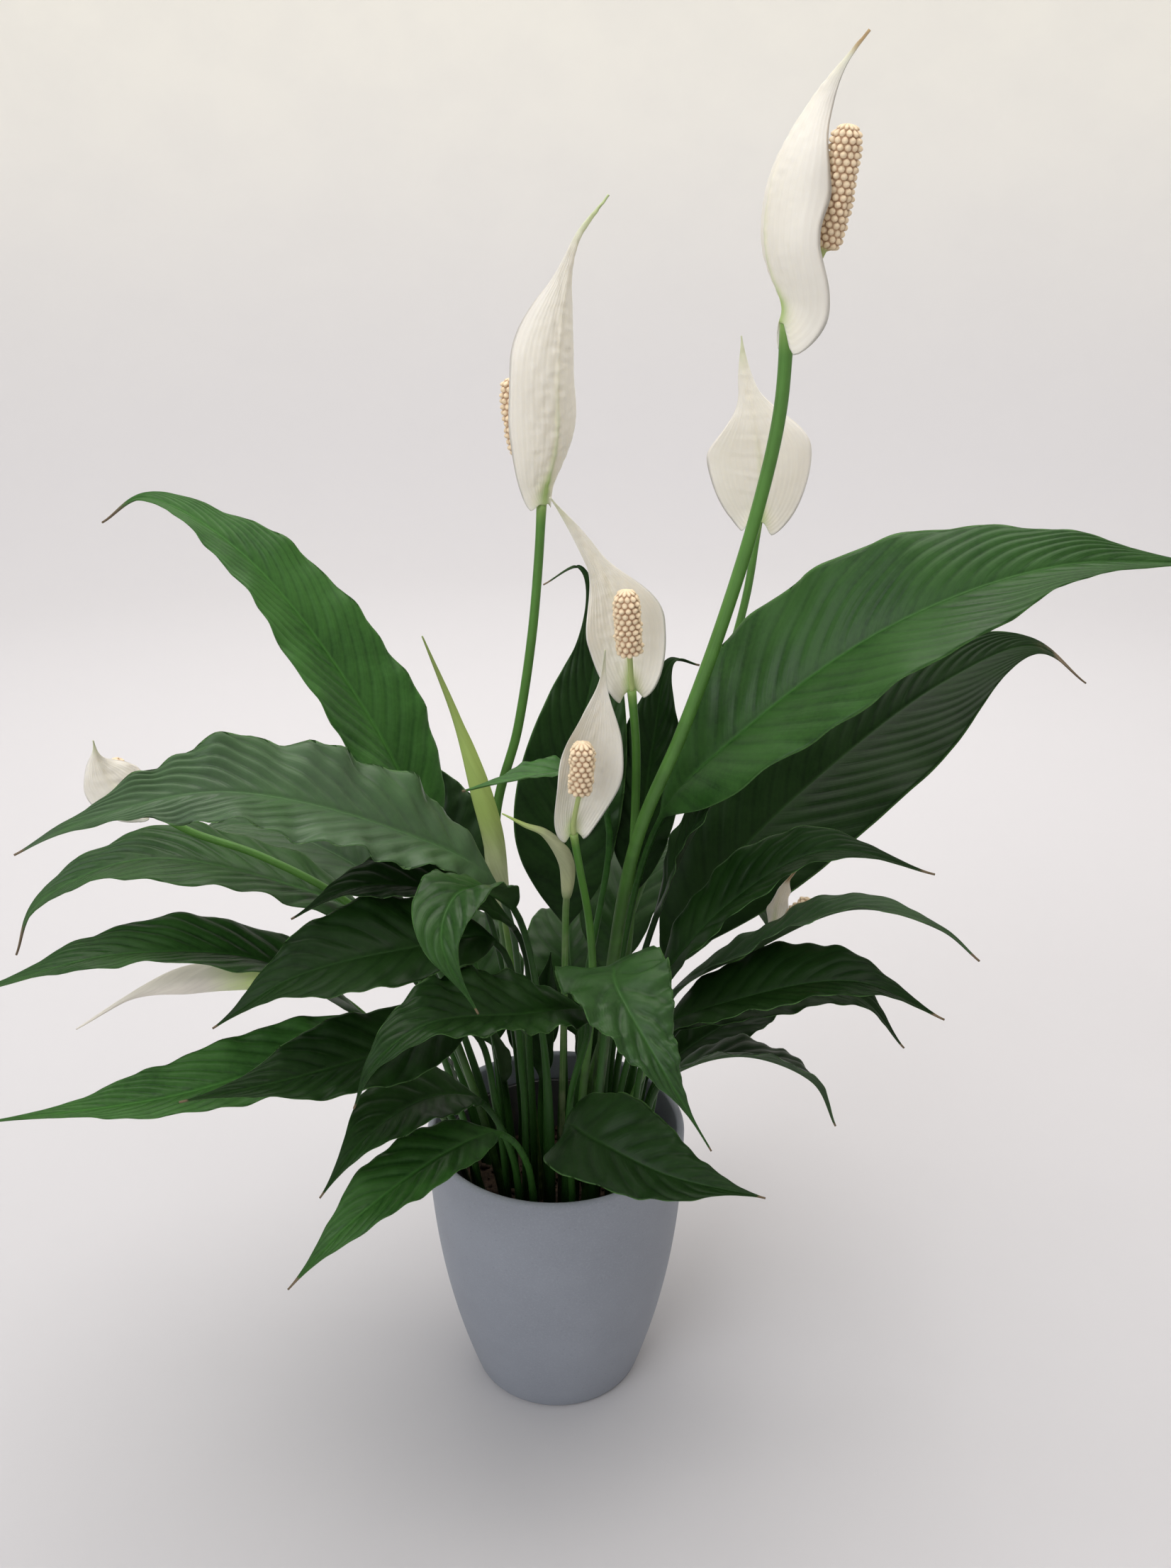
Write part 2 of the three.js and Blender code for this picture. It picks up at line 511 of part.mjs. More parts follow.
// The white hood: a blade whose halves fold round towards the spadix.
function spathePiece(flower) {
  const { spathe, radii, faces, width, fold } = flower;
  const curve = seatedCurve(flower, -SEAT_OFFSET, spathe);
  return skin(
    rings(curve, steps(0, 1, BLADE_STEPS), THREE.MathUtils.degToRad(faces + 180), (t) => {
      const neck = radii[1] * THREE.MathUtils.lerp(SEAT_SHARE, RIB_TIP_TAPER, t);
      const flat = THREE.MathUtils.smoothstep(t, 0, BLADE_FLAT_AFTER);
      return {
        halfWidth: Math.hypot((width / 2) * bladeOutline(t, SPATHE_FULL), neck),
        halfThickness: THREE.MathUtils.lerp(neck, SPATHE_THICKNESS / 2, flat),
        rise: THREE.MathUtils.degToRad(fold) * flat,
        roll: 0,
      };
    }),
  );
}

// The spike: a thin neck up from the scape's top, then a blunt rod.
function spadixPiece(flower) {
  const { spadix, radii, spadixRadius } = flower;
  const curve = seatedCurve(flower, SEAT_OFFSET, spadix);
  const thick = shareAt(curve, 2);
  const neck = radii[1] * SEAT_SHARE;
  const profile = [
    [0, neck],
    [thick * 0.9, neck],
    [thick, spadixRadius * 0.85],
    [THREE.MathUtils.lerp(thick, 1, 0.2), spadixRadius],
    [THREE.MathUtils.lerp(thick, 1, 0.7), spadixRadius * 0.94],
    [THREE.MathUtils.lerp(thick, 1, 0.92), spadixRadius * 0.7],
    [1, spadixRadius * 0.3],
  ];
  const radiusAt = new Map(profile);
  return skin(
    rings(curve, [...radiusAt.keys()], 0, (share) => {
      const radius = radiusAt.get(share);
      return { halfWidth: radius, halfThickness: radius, rise: 0, roll: 0 };
    }),
  );
}

// A bud on its stalk: one skin that swells and then tapers to a point.
function budPiece({ path, radius, budRadius, start }) {
  const curve = curveThrough(rooted(path));
  const shares = [...steps(0, start, LEAF_STALK_STEPS), ...steps(start, 1, BLADE_STEPS).slice(1)];
  const radii = [radius, radius];
  const geometry = skin(
    rings(curve, shares, 0, (share) => {
      const t = Math.max(0, (share - start) / (1 - start));
      const swell = (budRadius - radius) * bladeOutline(t, SPATHE_FULL);
      const size = radius * THREE.MathUtils.lerp(1, RIB_TIP_TAPER, t) + swell;
      return { halfWidth: size, halfThickness: size, rise: 0, roll: 0 };
    }),
  );
  return { geometry, socket: socketSkin(curve, 0, shares, radii) };
}

// ---- solids -------------------------------------------------------------------------

function solidOf(geometry) {
  const bare = geometry.clone().deleteAttribute("normal").deleteAttribute("uv");
  const merged = mergeVertices(bare, 1e-4);
  const vertProperties = merged.attributes.position.array;
  const triVerts = new Uint32Array(merged.index.array);
  return new wasm.Manifold(new wasm.Mesh({ numProp: 3, vertProperties, triVerts }));
}

function geometryOf(solid) {
  const { vertProperties, triVerts } = solid.getMesh();
  return new THREE.BufferGeometry()
    .setAttribute("position", new THREE.BufferAttribute(vertProperties, 3))
    .setIndex(new THREE.BufferAttribute(triVerts, 1));
}

// ---- the whole plant ----------------------------------------------------------------

const group = new THREE.Group();
const sockets = [];

function add(name, geometry, material) {
  geometry.computeVertexNormals();
  const mesh = new THREE.Mesh(geometry, material);
  mesh.name = name;
  group.add(mesh);
}

function plant(name, { geometry, socket }, material) {
  add(name, geometry, material);
  sockets.push(socket);
}

for (const each of LEAVES) plant(each.name, leaf(each), LEAF_GREEN);
for (const each of BUDS) plant(each.name, budPiece(each), each.material);
for (const each of FLOWERS) {
  plant(each.name + "_scape", scapePiece(each), STALK_GREEN);
  add(each.name + "_spathe", spathePiece(each), SPATHE_WHITE);
  add(each.name + "_spadix", spadixPiece(each), SPADIX_CREAM);
}
add("soil", soil(sockets), PEAT);
add("nursery_pot", nurseryPot(), BLACK_PLASTIC);
add("decorative_pot", decorativePot(), CERAMIC);

export default group;
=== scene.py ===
"""A peace lily in flower, in a black nursery pot set inside a blue-grey ceramic pot.

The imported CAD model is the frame. Every leaf, stalk, hood, spike and bud here is a fine
surface worked out along the same curve as the CAD node that it stands for, and the pots
and the soil are turned from the same outlines. Lengths in the tables are millimetres from
the middle of the soil's top; the meshes are in metres.
"""

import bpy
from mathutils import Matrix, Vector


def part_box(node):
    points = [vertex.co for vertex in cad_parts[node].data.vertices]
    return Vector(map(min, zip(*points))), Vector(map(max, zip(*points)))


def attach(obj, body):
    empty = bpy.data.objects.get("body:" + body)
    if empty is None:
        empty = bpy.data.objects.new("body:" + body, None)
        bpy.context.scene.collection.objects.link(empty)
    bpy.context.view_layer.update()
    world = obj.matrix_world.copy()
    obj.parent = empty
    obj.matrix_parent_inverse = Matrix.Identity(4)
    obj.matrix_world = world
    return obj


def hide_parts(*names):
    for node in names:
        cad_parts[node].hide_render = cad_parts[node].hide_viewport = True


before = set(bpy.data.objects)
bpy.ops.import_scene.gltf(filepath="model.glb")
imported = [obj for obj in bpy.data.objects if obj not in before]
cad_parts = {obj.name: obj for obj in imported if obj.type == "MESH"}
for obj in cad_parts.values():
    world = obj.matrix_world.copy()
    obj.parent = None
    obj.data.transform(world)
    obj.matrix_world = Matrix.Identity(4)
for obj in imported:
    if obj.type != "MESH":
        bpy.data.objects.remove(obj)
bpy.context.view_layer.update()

import math

import bpy
import numpy as np
from bpy.props import FloatProperty, FloatVectorProperty, IntProperty, PointerProperty

bl_info = {
    "name": "Potted Peace Lily",
    "version": (1, 0, 0),
    "blender": (4, 5, 0),
    "location": "View3D > Sidebar > Lily",
    "description": "Builds a potted peace lily round its packed CAD frame",
    "category": "Add Mesh",
}

MM = 0.001
SEED = 4321

# ---- sizes taken from the frame, in metres ------------------------------------------

POT_LOW, POT_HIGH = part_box("decorative_pot")
NURSERY_LOW, NURSERY_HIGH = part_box("nursery_pot")
SOIL_LOW, SOIL_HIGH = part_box("soil")
POT_HEIGHT = POT_HIGH.z
POT_RIM_RADIUS = POT_HIGH.x
NURSERY_RIM_RADIUS = NURSERY_HIGH.x
SOIL_LEVEL = SOIL_HIGH.z
SOIL_RADIUS = SOIL_HIGH.x

CERAMIC_WALL = 0.0045
POT_FOOT_RADIUS = 0.05
POT_FOOT_EDGE = 0.003
POT_FLOOR = 0.007
POT_BULGE = 2.2
NURSERY_WALL = 0.0012
NURSERY_FLOOR = 0.002
NURSERY_FEET = 0.003
NURSERY_RIM_HEIGHT = 0.008
NURSERY_RIM_STEP = 0.0016
NURSERY_GAP = 0.003  # between the two pots at the foot
DRAIN_HOLE_RADIUS = 0.004
DRAIN_HOLES = 6
DRAIN_HOLE_RING = 0.62

# ---- the plant ----------------------------------------------------------------------
# Lengths here are millimetres from the middle of the soil, angles are degrees and the rest
# are shares. stalk and scape: from the soil up to the blade or flower. rib and spathe: the
# midrib of a blade or hood, base to tip. spadix: the knobbly spike, from where it thickens
# to its top. path: a bud's stalk and the bud. width: the widest of a blade or hood. fold:
# how far each half of it rises from the midrib.

# roll: how far a leaf's left side is lifted at its base and tip. full: how soon it widens
# and how long it tapers. heading: the level direction it runs in, where that isn't from
# its base to its tip. wave and waves: height and number of its margin's waves. dry: how
# much of its tip has dried. tone: how light its green is, partly the leaf's own colour and
# partly painted shade that darkens leaves deep in the crown. creases: how deep its side
# veins are. drip: how much narrower its tip is. grey: how much a painted sheen, a greyish
# reflection of the light, greys it.
USUAL_LEAF = dict(roll=(0, 0), fold=18, full=(0.9, 1.35), heading=None, wave=2, waves=4, dry=0.02,
                  tone=0.4, creases=1, drip=0.5, grey=0)
LEAVES = {
    "leaf_upper_left": dict(
        width=62, roll=(-28, -20), wave=2.6, waves=5, dry=0.05, tone=1.1, drip=0.3, creases=0.8,
        stalk=[(-24, 12, 0), (-36, 16, 100)],
        rib=[(-62, 22, 200), (-98, 30, 290), (-160, 45, 375), (-212, 60, 402), (-238, 66, 388)]),
    "leaf_left_wavy": dict(
        width=66, roll=(-25, -30), wave=5.5, waves=5, tone=0.85, creases=1.6, grey=0.45,
        stalk=[(-18, -10, 0), (-18, -22, 110)],
        rib=[(-30, -38, 222), (-80, -60, 266), (-155, -85, 296), (-215, -102, 288),
             (-242, -108, 276)]),
    "leaf_left_drooping": dict(
        width=52, roll=(-8, -14), fold=12, wave=3, waves=3, dry=0.09, tone=0.8, creases=1.3,
        grey=0.12,
        stalk=[(-30, -4, 0), (-50, -12, 90)],
        rib=[(-92, -26, 192), (-140, -38, 226), (-205, -52, 246), (-255, -62, 226),
             (-268, -64, 200)]),
    "leaf_left_behind": dict(
        width=52, roll=(-15, -10), tone=0.8, grey=0.5, stalk=[(-32, 10, 0), (-48, 14, 80)],
        rib=[(-85, 22, 180), (-125, 38, 206), (-180, 60, 214), (-225, 80, 190)]),
    "leaf_left_flat": dict(
        width=48, roll=(-6, -6), wave=2.4, waves=3, tone=0.75,
        stalk=[(-38, -14, 0), (-60, -22, 70)],
        rib=[(-104, -40, 148), (-150, -58, 192), (-215, -80, 208), (-262, -95, 202),
             (-285, -100, 196)]),
    "leaf_left_lowest": dict(
        width=44, roll=(-20, -15), tone=1.1, stalk=[(-40, -24, 0), (-52, -36, 80)],
        rib=[(-72, -50, 146), (-120, -80, 150), (-185, -118, 152), (-260, -150, 162)]),
    "leaf_left_glossy": dict(
        width=46, roll=(-32, -20), tone=0.3, stalk=[(-26, -30, 0), (-32, -48, 90)],
        rib=[(-44, -72, 158), (-85, -105, 166), (-130, -135, 171), (-168, -156, 176)]),
    "leaf_front_left": dict(
        width=42, roll=(-18, -14), dry=0.03, tone=0.42, stalk=[(-20, -42, 0), (-24, -48, 60)],
        rib=[(-40, -58, 104), (-64, -84, 126), (-92, -122, 130), (-112, -144, 112)]),
    "leaf_front_left_hanging": dict(
        width=38, roll=(-10, -10), dry=0.05, tone=0.95, stalk=[(-12, -46, 0), (-16, -54, 60)],
        rib=[(-30, -70, 92), (-58, -106, 106), (-98, -148, 100), (-128, -158, 70)]),
    "leaf_dark_pointed": dict(
        width=60, roll=(-20, -20), tone=0.3, stalk=[(-18, -32, 0), (-18, -44, 110)],
        rib=[(-30, -64, 204), (-72, -88, 214), (-124, -108, 210), (-160, -118, 190)]),
    "leaf_dark_short": dict(
        width=44, roll=(-6, -16), tone=0.2, stalk=[(-12, -18, 0), (-14, -30, 110)],
        rib=[(-20, -48, 202), (-58, -60, 231), (-98, -72, 239), (-126, -84, 229)]),
    "leaf_front_curled": dict(
        width=36, roll=(-10, 0), tone=0.62, drip=0.6, stalk=[(-4, -30, 0), (-6, -45, 130)],
        rib=[(-20, -66, 224), (-44, -108, 254), (-50, -135, 244), (-34, -147, 214)]),
    "leaf_front_draped": dict(
        width=56, roll=(-10, -10), tone=0.36, drip=0.6, wave=3, waves=5,
        stalk=[(4, -36, 0), (8, -50, 100)],
        rib=[(16, -70, 164), (-20, -108, 189), (-60, -144, 206), (-80, -158, 196),
             (-90, -160, 174)]),
    "leaf_front_crinkled": dict(
        width=56, roll=(10, 10), full=(0.6, 2.3), wave=5, waves=6, tone=0.65, creases=2, drip=0.5,
        grey=0.1, stalk=[(20, -34, 0), (24, -46, 110)],
        rib=[(30, -66, 190), (30, -96, 196), (50, -130, 172), (73, -142, 134)]),
    "leaf_front_right_low": dict(
        width=56, roll=(30, 10), full=(0.6, 1.3), dry=0.03, tone=0.33, drip=0.4,
        stalk=[(10, -48, 0), (8, -52, 50)],
        rib=[(6, -58, 88), (20, -84, 98), (56, -106, 92), (104, -120, 88)]),
    "leaf_right_edge_on": dict(
        width=34, roll=(-10, -30), tone=0.45, grey=0.3, stalk=[(44, -22, 0), (48, -28, 50)],
        rib=[(60, -34, 100), (100, -44, 122), (138, -52, 110), (152, -54, 82)]),
    "leaf_right_lowest": dict(
        width=44, roll=(15, 15), tone=0.2, stalk=[(46, 0, 0), (50, 2, 40)],
        rib=[(62, 6, 78), (95, 22, 96), (130, 40, 104), (160, 52, 95)]),
    "leaf_right_middle": dict(
        width=56, roll=(5, 10), dry=0.04, tone=0.24, creases=0.6,
        stalk=[(36, -34, 0), (42, -44, 80)],
        rib=[(54, -56, 144), (96, -68, 172), (150, -84, 190), (192, -94, 174)]),
    "leaf_right_behind": dict(
        width=42, roll=(15, 15), tone=0.2, stalk=[(48, -10, 0), (54, -14, 60)],
        rib=[(68, -18, 122), (105, -24, 142), (160, -32, 152), (190, -37, 120)]),
    "leaf_right_slender": dict(
        width=32, roll=(0, -8), dry=0.03, tone=0.6, grey=0.4, stalk=[(38, -14, 0), (46, -24, 80)],
        rib=[(64, -34, 155), (98, -50, 188), (150, -66, 222), (190, -78, 216), (210, -82, 200)]),
    "leaf_right_long_tip": dict(
        width=46, roll=(20, 10), dry=0.05, tone=0.3, creases=0.6,
        stalk=[(30, -20, 0), (36, -30, 90)],
        rib=[(54, -39, 160), (90, -46, 215), (136, -58, 250), (188, -66, 240)]),
    "leaf_right_broad": dict(
        width=88, roll=(45, 30), fold=8, wave=2.5, waves=3, dry=0.1, tone=0.24, creases=0.5,
        stalk=[(34, 4, 0), (44, 6, 70)],
        rib=[(62, 8, 150), (100, 24, 205), (155, 48, 250), (225, 76, 292), (280, 96, 306),
             (318, 105, 280)]),
    "leaf_right_folded": dict(
        width=34, roll=(20, 10), wave=2, tone=0.3, grey=0.15, stalk=[(30, -6, 0), (36, -12, 100)],
        rib=[(54, -20, 192), (76, -28, 255), (108, -36, 300), (138, -46, 338)]),
    "leaf_upper_right": dict(
        width=92, roll=(38, 32), wave=3.4, waves=3, tone=0.72, drip=0.3, creases=0.7,
        stalk=[(22, -12, 0), (32, -14, 130)],
        rib=[(56, -24, 254), (98, -38, 310), (162, -50, 364), (232, -56, 392), (300, -60, 394)]),
    "leaf_middle_tall": dict(
        width=64, heading=90, full=(1, 2), tone=0.4, stalk=[(4, 16, 0), (5, 24, 80)],
        rib=[(7, 32, 160), (10, 46, 245), (24, 58, 320), (16, 66, 362), (-4, 68, 352)]),
    "leaf_middle_dark": dict(
        width=42, heading=70, tone=0.22, stalk=[(24, 10, 0), (34, 20, 90)],
        rib=[(46, 32, 182), (56, 44, 270), (66, 54, 312), (82, 60, 308)]),
    "leaf_middle_small": dict(
        width=26, tone=1.2, stalk=[(10, -14, 0), (16, -18, 140)],
        rib=[(28, -18, 252), (6, -34, 282), (-22, -46, 284), (-44, -54, 282)]),
    "leaf_back_left_upright": dict(
        width=56, heading=110, tone=0.35, grey=0.15, stalk=[(-16, 24, 0), (-24, 28, 90)],
        rib=[(-40, 34, 175), (-64, 46, 215), (-84, 62, 246), (-98, 74, 240)]),
    "leaf_back_right": dict(
        width=56, stalk=[(34, 30, 0), (48, 44, 60)],
        rib=[(68, 66, 112), (100, 100, 130), (130, 136, 118), (148, 156, 84)]),
    "leaf_back_right_high": dict(
        width=60, stalk=[(14, 32, 0), (20, 44, 60)],
        rib=[(30, 60, 112), (46, 88, 152), (70, 128, 166), (92, 164, 140)]),
    "leaf_back": dict(
        width=60, stalk=[(17, 42, 0), (17, 54, 30)],
        rib=[(14, 70, 62), (10, 98, 96), (10, 134, 112), (14, 170, 98)]),
    "leaf_back_left_low": dict(
        width=60, stalk=[(-31, 34, 0), (-34, 44, 30)],
        rib=[(-38, 60, 62), (-50, 88, 98), (-66, 122, 116), (-80, 156, 102)]),
    "leaf_back_left": dict(
        width=52, stalk=[(-40, 22, 0), (-58, 34, 60)],
        rib=[(-84, 52, 114), (-124, 80, 126), (-160, 106, 104), (-176, 120, 72)]),
}

# Young leaves, still short, that stand among the stalks. They stand for no CAD node.
YOUNG_LEAF = dict(USUAL_LEAF, wave=1, waves=3, dry=0, tone=0.3, creases=0.6, drip=0.2)
YOUNG_LEAVES = {
    "young_leaf_back": dict(
        width=22, stalk=[(-6, 48, 0), (-6, 52, 36)],
        rib=[(-6, 56, 60), (-5, 61, 92), (-2, 66, 124)]),
    "young_leaf_back_right": dict(
        width=24, stalk=[(27, 41, 0), (30, 47, 36)],
        rib=[(33, 53, 60), (39, 59, 88), (49, 65, 112)]),
    "young_leaf_back_left": dict(
        width=20, stalk=[(-20, 45, 0), (-21, 50, 36)],
        rib=[(-22, 55, 58), (-23, 60, 86), (-27, 65, 114)]),
    "young_leaf_left": dict(
        width=20, stalk=[(-48, 8, 0), (-53, 8, 34)],
        rib=[(-57, 8, 56), (-63, 7, 84), (-72, 4, 104)]),
    "young_leaf_right": dict(
        width=22, stalk=[(46, 19, 0), (50, 23, 36)],
        rib=[(54, 27, 58), (60, 32, 86), (68, 37, 110)]),
    "young_leaf_middle": dict(
        width=18, stalk=[(-8, 0, 0), (-9, 2, 50)], rib=[(-8, 4, 76), (-7, 6, 104), (-6, 8, 132)]),
    "young_leaf_middle_right": dict(
        width=16, stalk=[(18, 0, 0), (18, 2, 50)], rib=[(19, 4, 76), (20, 7, 104), (22, 11, 128)]),
    "young_leaf_middle_left": dict(
        width=18, stalk=[(-26, 3, 0), (-28, 4, 50)],
        rib=[(-30, 3, 74), (-33, 1, 98), (-38, -3, 120)]),
}

# radii: the scape's at its foot and top. faces: the side that the hood opens to, from +X
# towards +Y. green: how green its tip is. brown: how much of its tip has withered. lobe:
# how far its foot hangs past the scape's top. pebbles: height of the lumps in its middle.
# tail: where its thin tip begins.
USUAL_FLOWER = dict(green=0.4, brown=0, lobe=3, pebbles=0.15, tail=0.55)
FLOWERS = {
    "flower_right_tall": dict(
        radii=(3.6, 3), faces=15, width=54, fold=38, spadix_radius=6.5, green=0.25, brown=0.12,
        lobe=16, tail=0.56,
        scape=[(16, -24, 0), (24, -32, 100), (41, -41, 244), (63, -45, 308), (80, -47, 362),
               (94, -51, 418), (101, -56, 462), (102, -58, 500)],
        spathe=[(92, -56, 528), (94, -52, 556), (108, -50, 584), (129, -55, 610)],
        spadix=[(116, -58, 531), (120, -59, 553), (122, -60, 576)]),
    "flower_left_tall": dict(
        radii=(2.9, 2.3), faces=130, width=46, fold=30, spadix_radius=5.5, green=0.8, lobe=7,
        pebbles=0.28, tail=0.46,
        scape=[(-8, 2, 0), (-20, 6, 100), (-31, 10, 236), (-18, 10, 290), (-10, 8, 340),
               (-6, 6, 380), (-4, 5, 410)],
        spathe=[(3, -3, 440), (4, -5, 474), (7, -1, 504), (14, 4, 530), (28, 6, 549)],
        spadix=[(-14, 12, 434), (-17, 14, 450), (-18, 15, 468)]),
    "flower_back_right": dict(
        radii=(2.6, 2.1), faces=80, width=54, fold=15, spadix_radius=5.5, green=0.4, lobe=9,
        tail=0.36,
        scape=[(20, 26, 0), (34, 40, 120), (66, 48, 224), (92, 46, 300), (104, 45, 350),
               (109, 46, 392)],
        spathe=[(108, 42, 420), (103, 40, 445), (98, 42, 465), (96, 46, 484)],
        spadix=[(109, 54, 410), (108, 57, 428), (106, 58, 446)]),
    "flower_middle": dict(
        radii=(2.6, 2.1), faces=285, width=42, fold=15, spadix_radius=6.5, green=0.3, lobe=8,
        tail=0.28,
        scape=[(8, -4, 0), (20, -6, 80), (39, -8, 160), (42, -16, 230), (42, -28, 292),
               (39, -33, 326)],
        spathe=[(35, -28, 351), (28, -26, 374), (14, -28, 400), (0, -32, 420)],
        spadix=[(37, -44, 350), (36, -46, 363), (35, -47, 380)]),
    "flower_middle_low": dict(
        radii=(2.4, 1.9), faces=285, width=32, fold=18, spadix_radius=6, green=0.3, lobe=6,
        tail=0.5,
        scape=[(8, -26, 0), (14, -34, 80), (20, -43, 164), (18, -49, 206), (13, -55, 240),
               (10, -57, 260)],
        spathe=[(16, -53, 290), (21, -52, 316), (24, -54, 338), (25, -57, 354)],
        spadix=[(13, -66, 288), (14, -68, 300), (14, -69, 313)]),
    "flower_left_turned_away": dict(
        radii=(2.4, 1.8), faces=120, width=30, fold=25, spadix_radius=5,
        scape=[(-28, -16, 0), (-44, -22, 80), (-72, -34, 172), (-108, -39, 216), (-148, -42, 243),
               (-180, -45, 258), (-198, -48, 272)],
        spathe=[(-210, -52, 284), (-217, -53, 296), (-218, -54, 310)],
        spadix=[(-206, -37, 280), (-212, -38, 287), (-216, -39, 294)]),
    "flower_right_old": dict(
        radii=(2, 1.5), faces=300, width=14, fold=20, spadix_radius=5, green=0.9, brown=0.3,
        tail=0.5,
        scape=[(30, -28, 0), (40, -33, 80), (62, -33, 130), (92, -31, 168), (109, -34, 184),
               (114, -35, 194)], spathe=[(116, -32, 206), (119, -33, 217), (125, -37, 229)],
        spadix=[(123, -39, 202), (129, -40, 208), (133, -41, 213)]),
}

# start: where along its path a bud begins to swell. tail: how much of that it loses again
# by its thin tip.
BUDS = {
    "bud_furled": dict(
        radius=2.1, bud_radius=6.5, start=0.56, tail=0.5,
        path=[(-8, -10, 0), (-16, -14, 100), (-29, -14, 214), (-32, -14, 240), (-37, -14, 263),
              (-43, -14, 287), (-50, -13, 310), (-64, -10, 347)]),
    "bud_withered": dict(
        radius=1.8, bud_radius=4.5, start=0.76, tail=0.5,
        path=[(2, -16, 0), (4, -26, 100), (6, -34, 200), (6, -38, 236), (-4, -43, 254),
              (-14, -46, 260), (-25, -50, 268)]),
    "bud_closed_left": dict(
        radius=2, bud_radius=8.5, start=0.66, tail=0.85,
        path=[(-46, -10, 0), (-70, -18, 80), (-118, -35, 158), (-150, -38, 169), (-180, -45, 175),
              (-212, -52, 171), (-245, -62, 155)]),
}

ROOT_DEPTH = 10  # how far a stalk goes down into the soil
LEAF_STALK_RADIUS = 2.1
LEAF_STALK_TAPER = 0.8
LEAF_SHEATH = 0.8  # how much wider a leaf stalk is at its foot
RIB_TIP_TAPER = 0.2
BLADE_FLAT_AFTER = 0.15
HOOD_OUTLINE = (0.7, 1.25)


# ---- settings a user can change -----------------------------------------------------


def length(name, description, default):
    return FloatProperty(name=name, description=description, default=default,
                         min=0, precision=5, unit="LENGTH")


def number_of(name, description, default, low, high):
    return IntProperty(name=name, description=description, default=default, min=low, max=high)


def strength(name, description, default, unit="POWER"):
    return FloatProperty(name=name, description=description, default=default, min=0, unit=unit)


def colour(name, description, default):
    return FloatVectorProperty(name=name, description=description, default=default,
                               subtype="COLOR", size=3, min=0, max=1)


class LilyLeafSettings(bpy.types.PropertyGroup):
    """Sizes and colours of the leaves."""

    thickness: length("Thickness", "Thickness of a blade", 0.0007)
    crease: length("Crease Depth", "How far the side veins are pressed into a blade", 0.0005)
    vein_spacing: length("Vein Spacing", "Space between side veins along the midrib", 0.013)
    rows: number_of("Rows", "Rows of faces along a blade", 150, 20, 400)
    columns: number_of("Columns", "Faces across one side of a blade", 44, 8, 120)
    # Deep green is the dark end of a blade's own patches, and also painted shade along its creases.
    deep_green: colour("Deep Green", "Colour of a blade in its creases", (0.013, 0.05, 0.009))
    fresh_green: colour("Fresh Green", "Colour of a blade between its creases",
                        (0.038, 0.12, 0.021))
    under_green: colour("Underside Green", "Colour of a blade's underside",
                        (0.07, 0.15, 0.045))
    # This colour is a painted sheen: the greyish reflection of the light, laid into some leaves'
    # colour.
    painted_sheen: colour("Bloom", "Colour of the greyish bloom on some leaves", (0.13, 0.18, 0.125))
    dry_brown: colour("Dry Brown", "Colour of a dried tip", (0.16, 0.12, 0.075))


class LilyFlowerSettings(bpy.types.PropertyGroup):
    """Sizes and colours of the flowers and buds."""

    hood_thickness: length("Hood Thickness", "Thickness of a hood", 0.0006)
    knob_height: length("Knob Height", "How far a spike's knobs stand out", 0.0015)
    knob_spacing: length("Knob Spacing", "Space between a spike's knobs", 0.0031)
    ivory: colour("Ivory", "Colour of a hood", (0.83, 0.78, 0.69))
    stalk_green: colour("Stalk Green", "Colour of a flower's stalk", (0.075, 0.2, 0.03))
    cream: colour("Cream", "Colour of a spike's knobs", (0.82, 0.66, 0.46))
    # Tan is painted shade: the colour between a spike's knobs.
    tan: colour("Tan", "Colour between a spike's knobs", (0.52, 0.33, 0.21))
    bud_green: colour("Bud Green", "Colour of a furled bud", (0.36, 0.48, 0.13))


class LilyPotSettings(bpy.types.PropertyGroup):
    """Sizes and colours of the pots and the soil."""

    wall: length("Wall", "Thickness of the ceramic wall", CERAMIC_WALL)
    sides: number_of("Sides", "Faces round a pot", 192, 24, 720)
    crumbs: number_of("Crumbs", "Loose crumbs on the soil", 900, 0, 3000)
    glaze: colour("Glaze", "Colour of the ceramic pot", (0.245, 0.265, 0.308))
    plastic: colour("Plastic", "Colour of the nursery pot", (0.012, 0.012, 0.013))
    peat: colour("Peat", "Colour of the soil", (0.035, 0.022, 0.014))


class LilyStageSettings(bpy.types.PropertyGroup):
    """The floor and the light."""

    floor: colour("Floor", "Colour of the floor", (0.655, 0.645, 0.675))
    # The wall is the same paper as the floor; its lighter, warmer colour is painted light.
    wall: colour("Wall", "Colour of the wall behind", (0.92, 0.9, 0.84))
    ceiling_power: strength("Ceiling Light", "Power of the light overhead", 66)
    window_power: strength("Window Light", "Power of the light at front left", 31)
    wall_power: strength("Wall Light", "Power of the light on the wall behind", 14)
    sky: strength("Sky", "Strength of the light from all round", 0.32, "NONE")


SETTINGS = {
    "lily_leaf": LilyLeafSettings,
    "lily_flower": LilyFlowerSettings,
    "lily_pot": LilyPotSettings,
    "lily_stage": LilyStageSettings,
}


# ---- curves -------------------------------------------------------------------------


def smoothstep(low, high, x):
    """0 below low, 1 above high, and 3t^2 - 2t^3 between them."""
    t = np.clip((x - low) / (high - low), 0, 1)
    return t * t * (3 - 2 * t)


def planted(points):
    """Points of the tables in metres above the floor."""
    return (np.asarray(points, float) + (0, 0, SOIL_LEVEL / MM)) * MM


def rooted(points):
    """The same, with the first point carried down into the soil."""
    placed = planted(points)
    placed[0, 2] -= ROOT_DEPTH * MM
    return placed


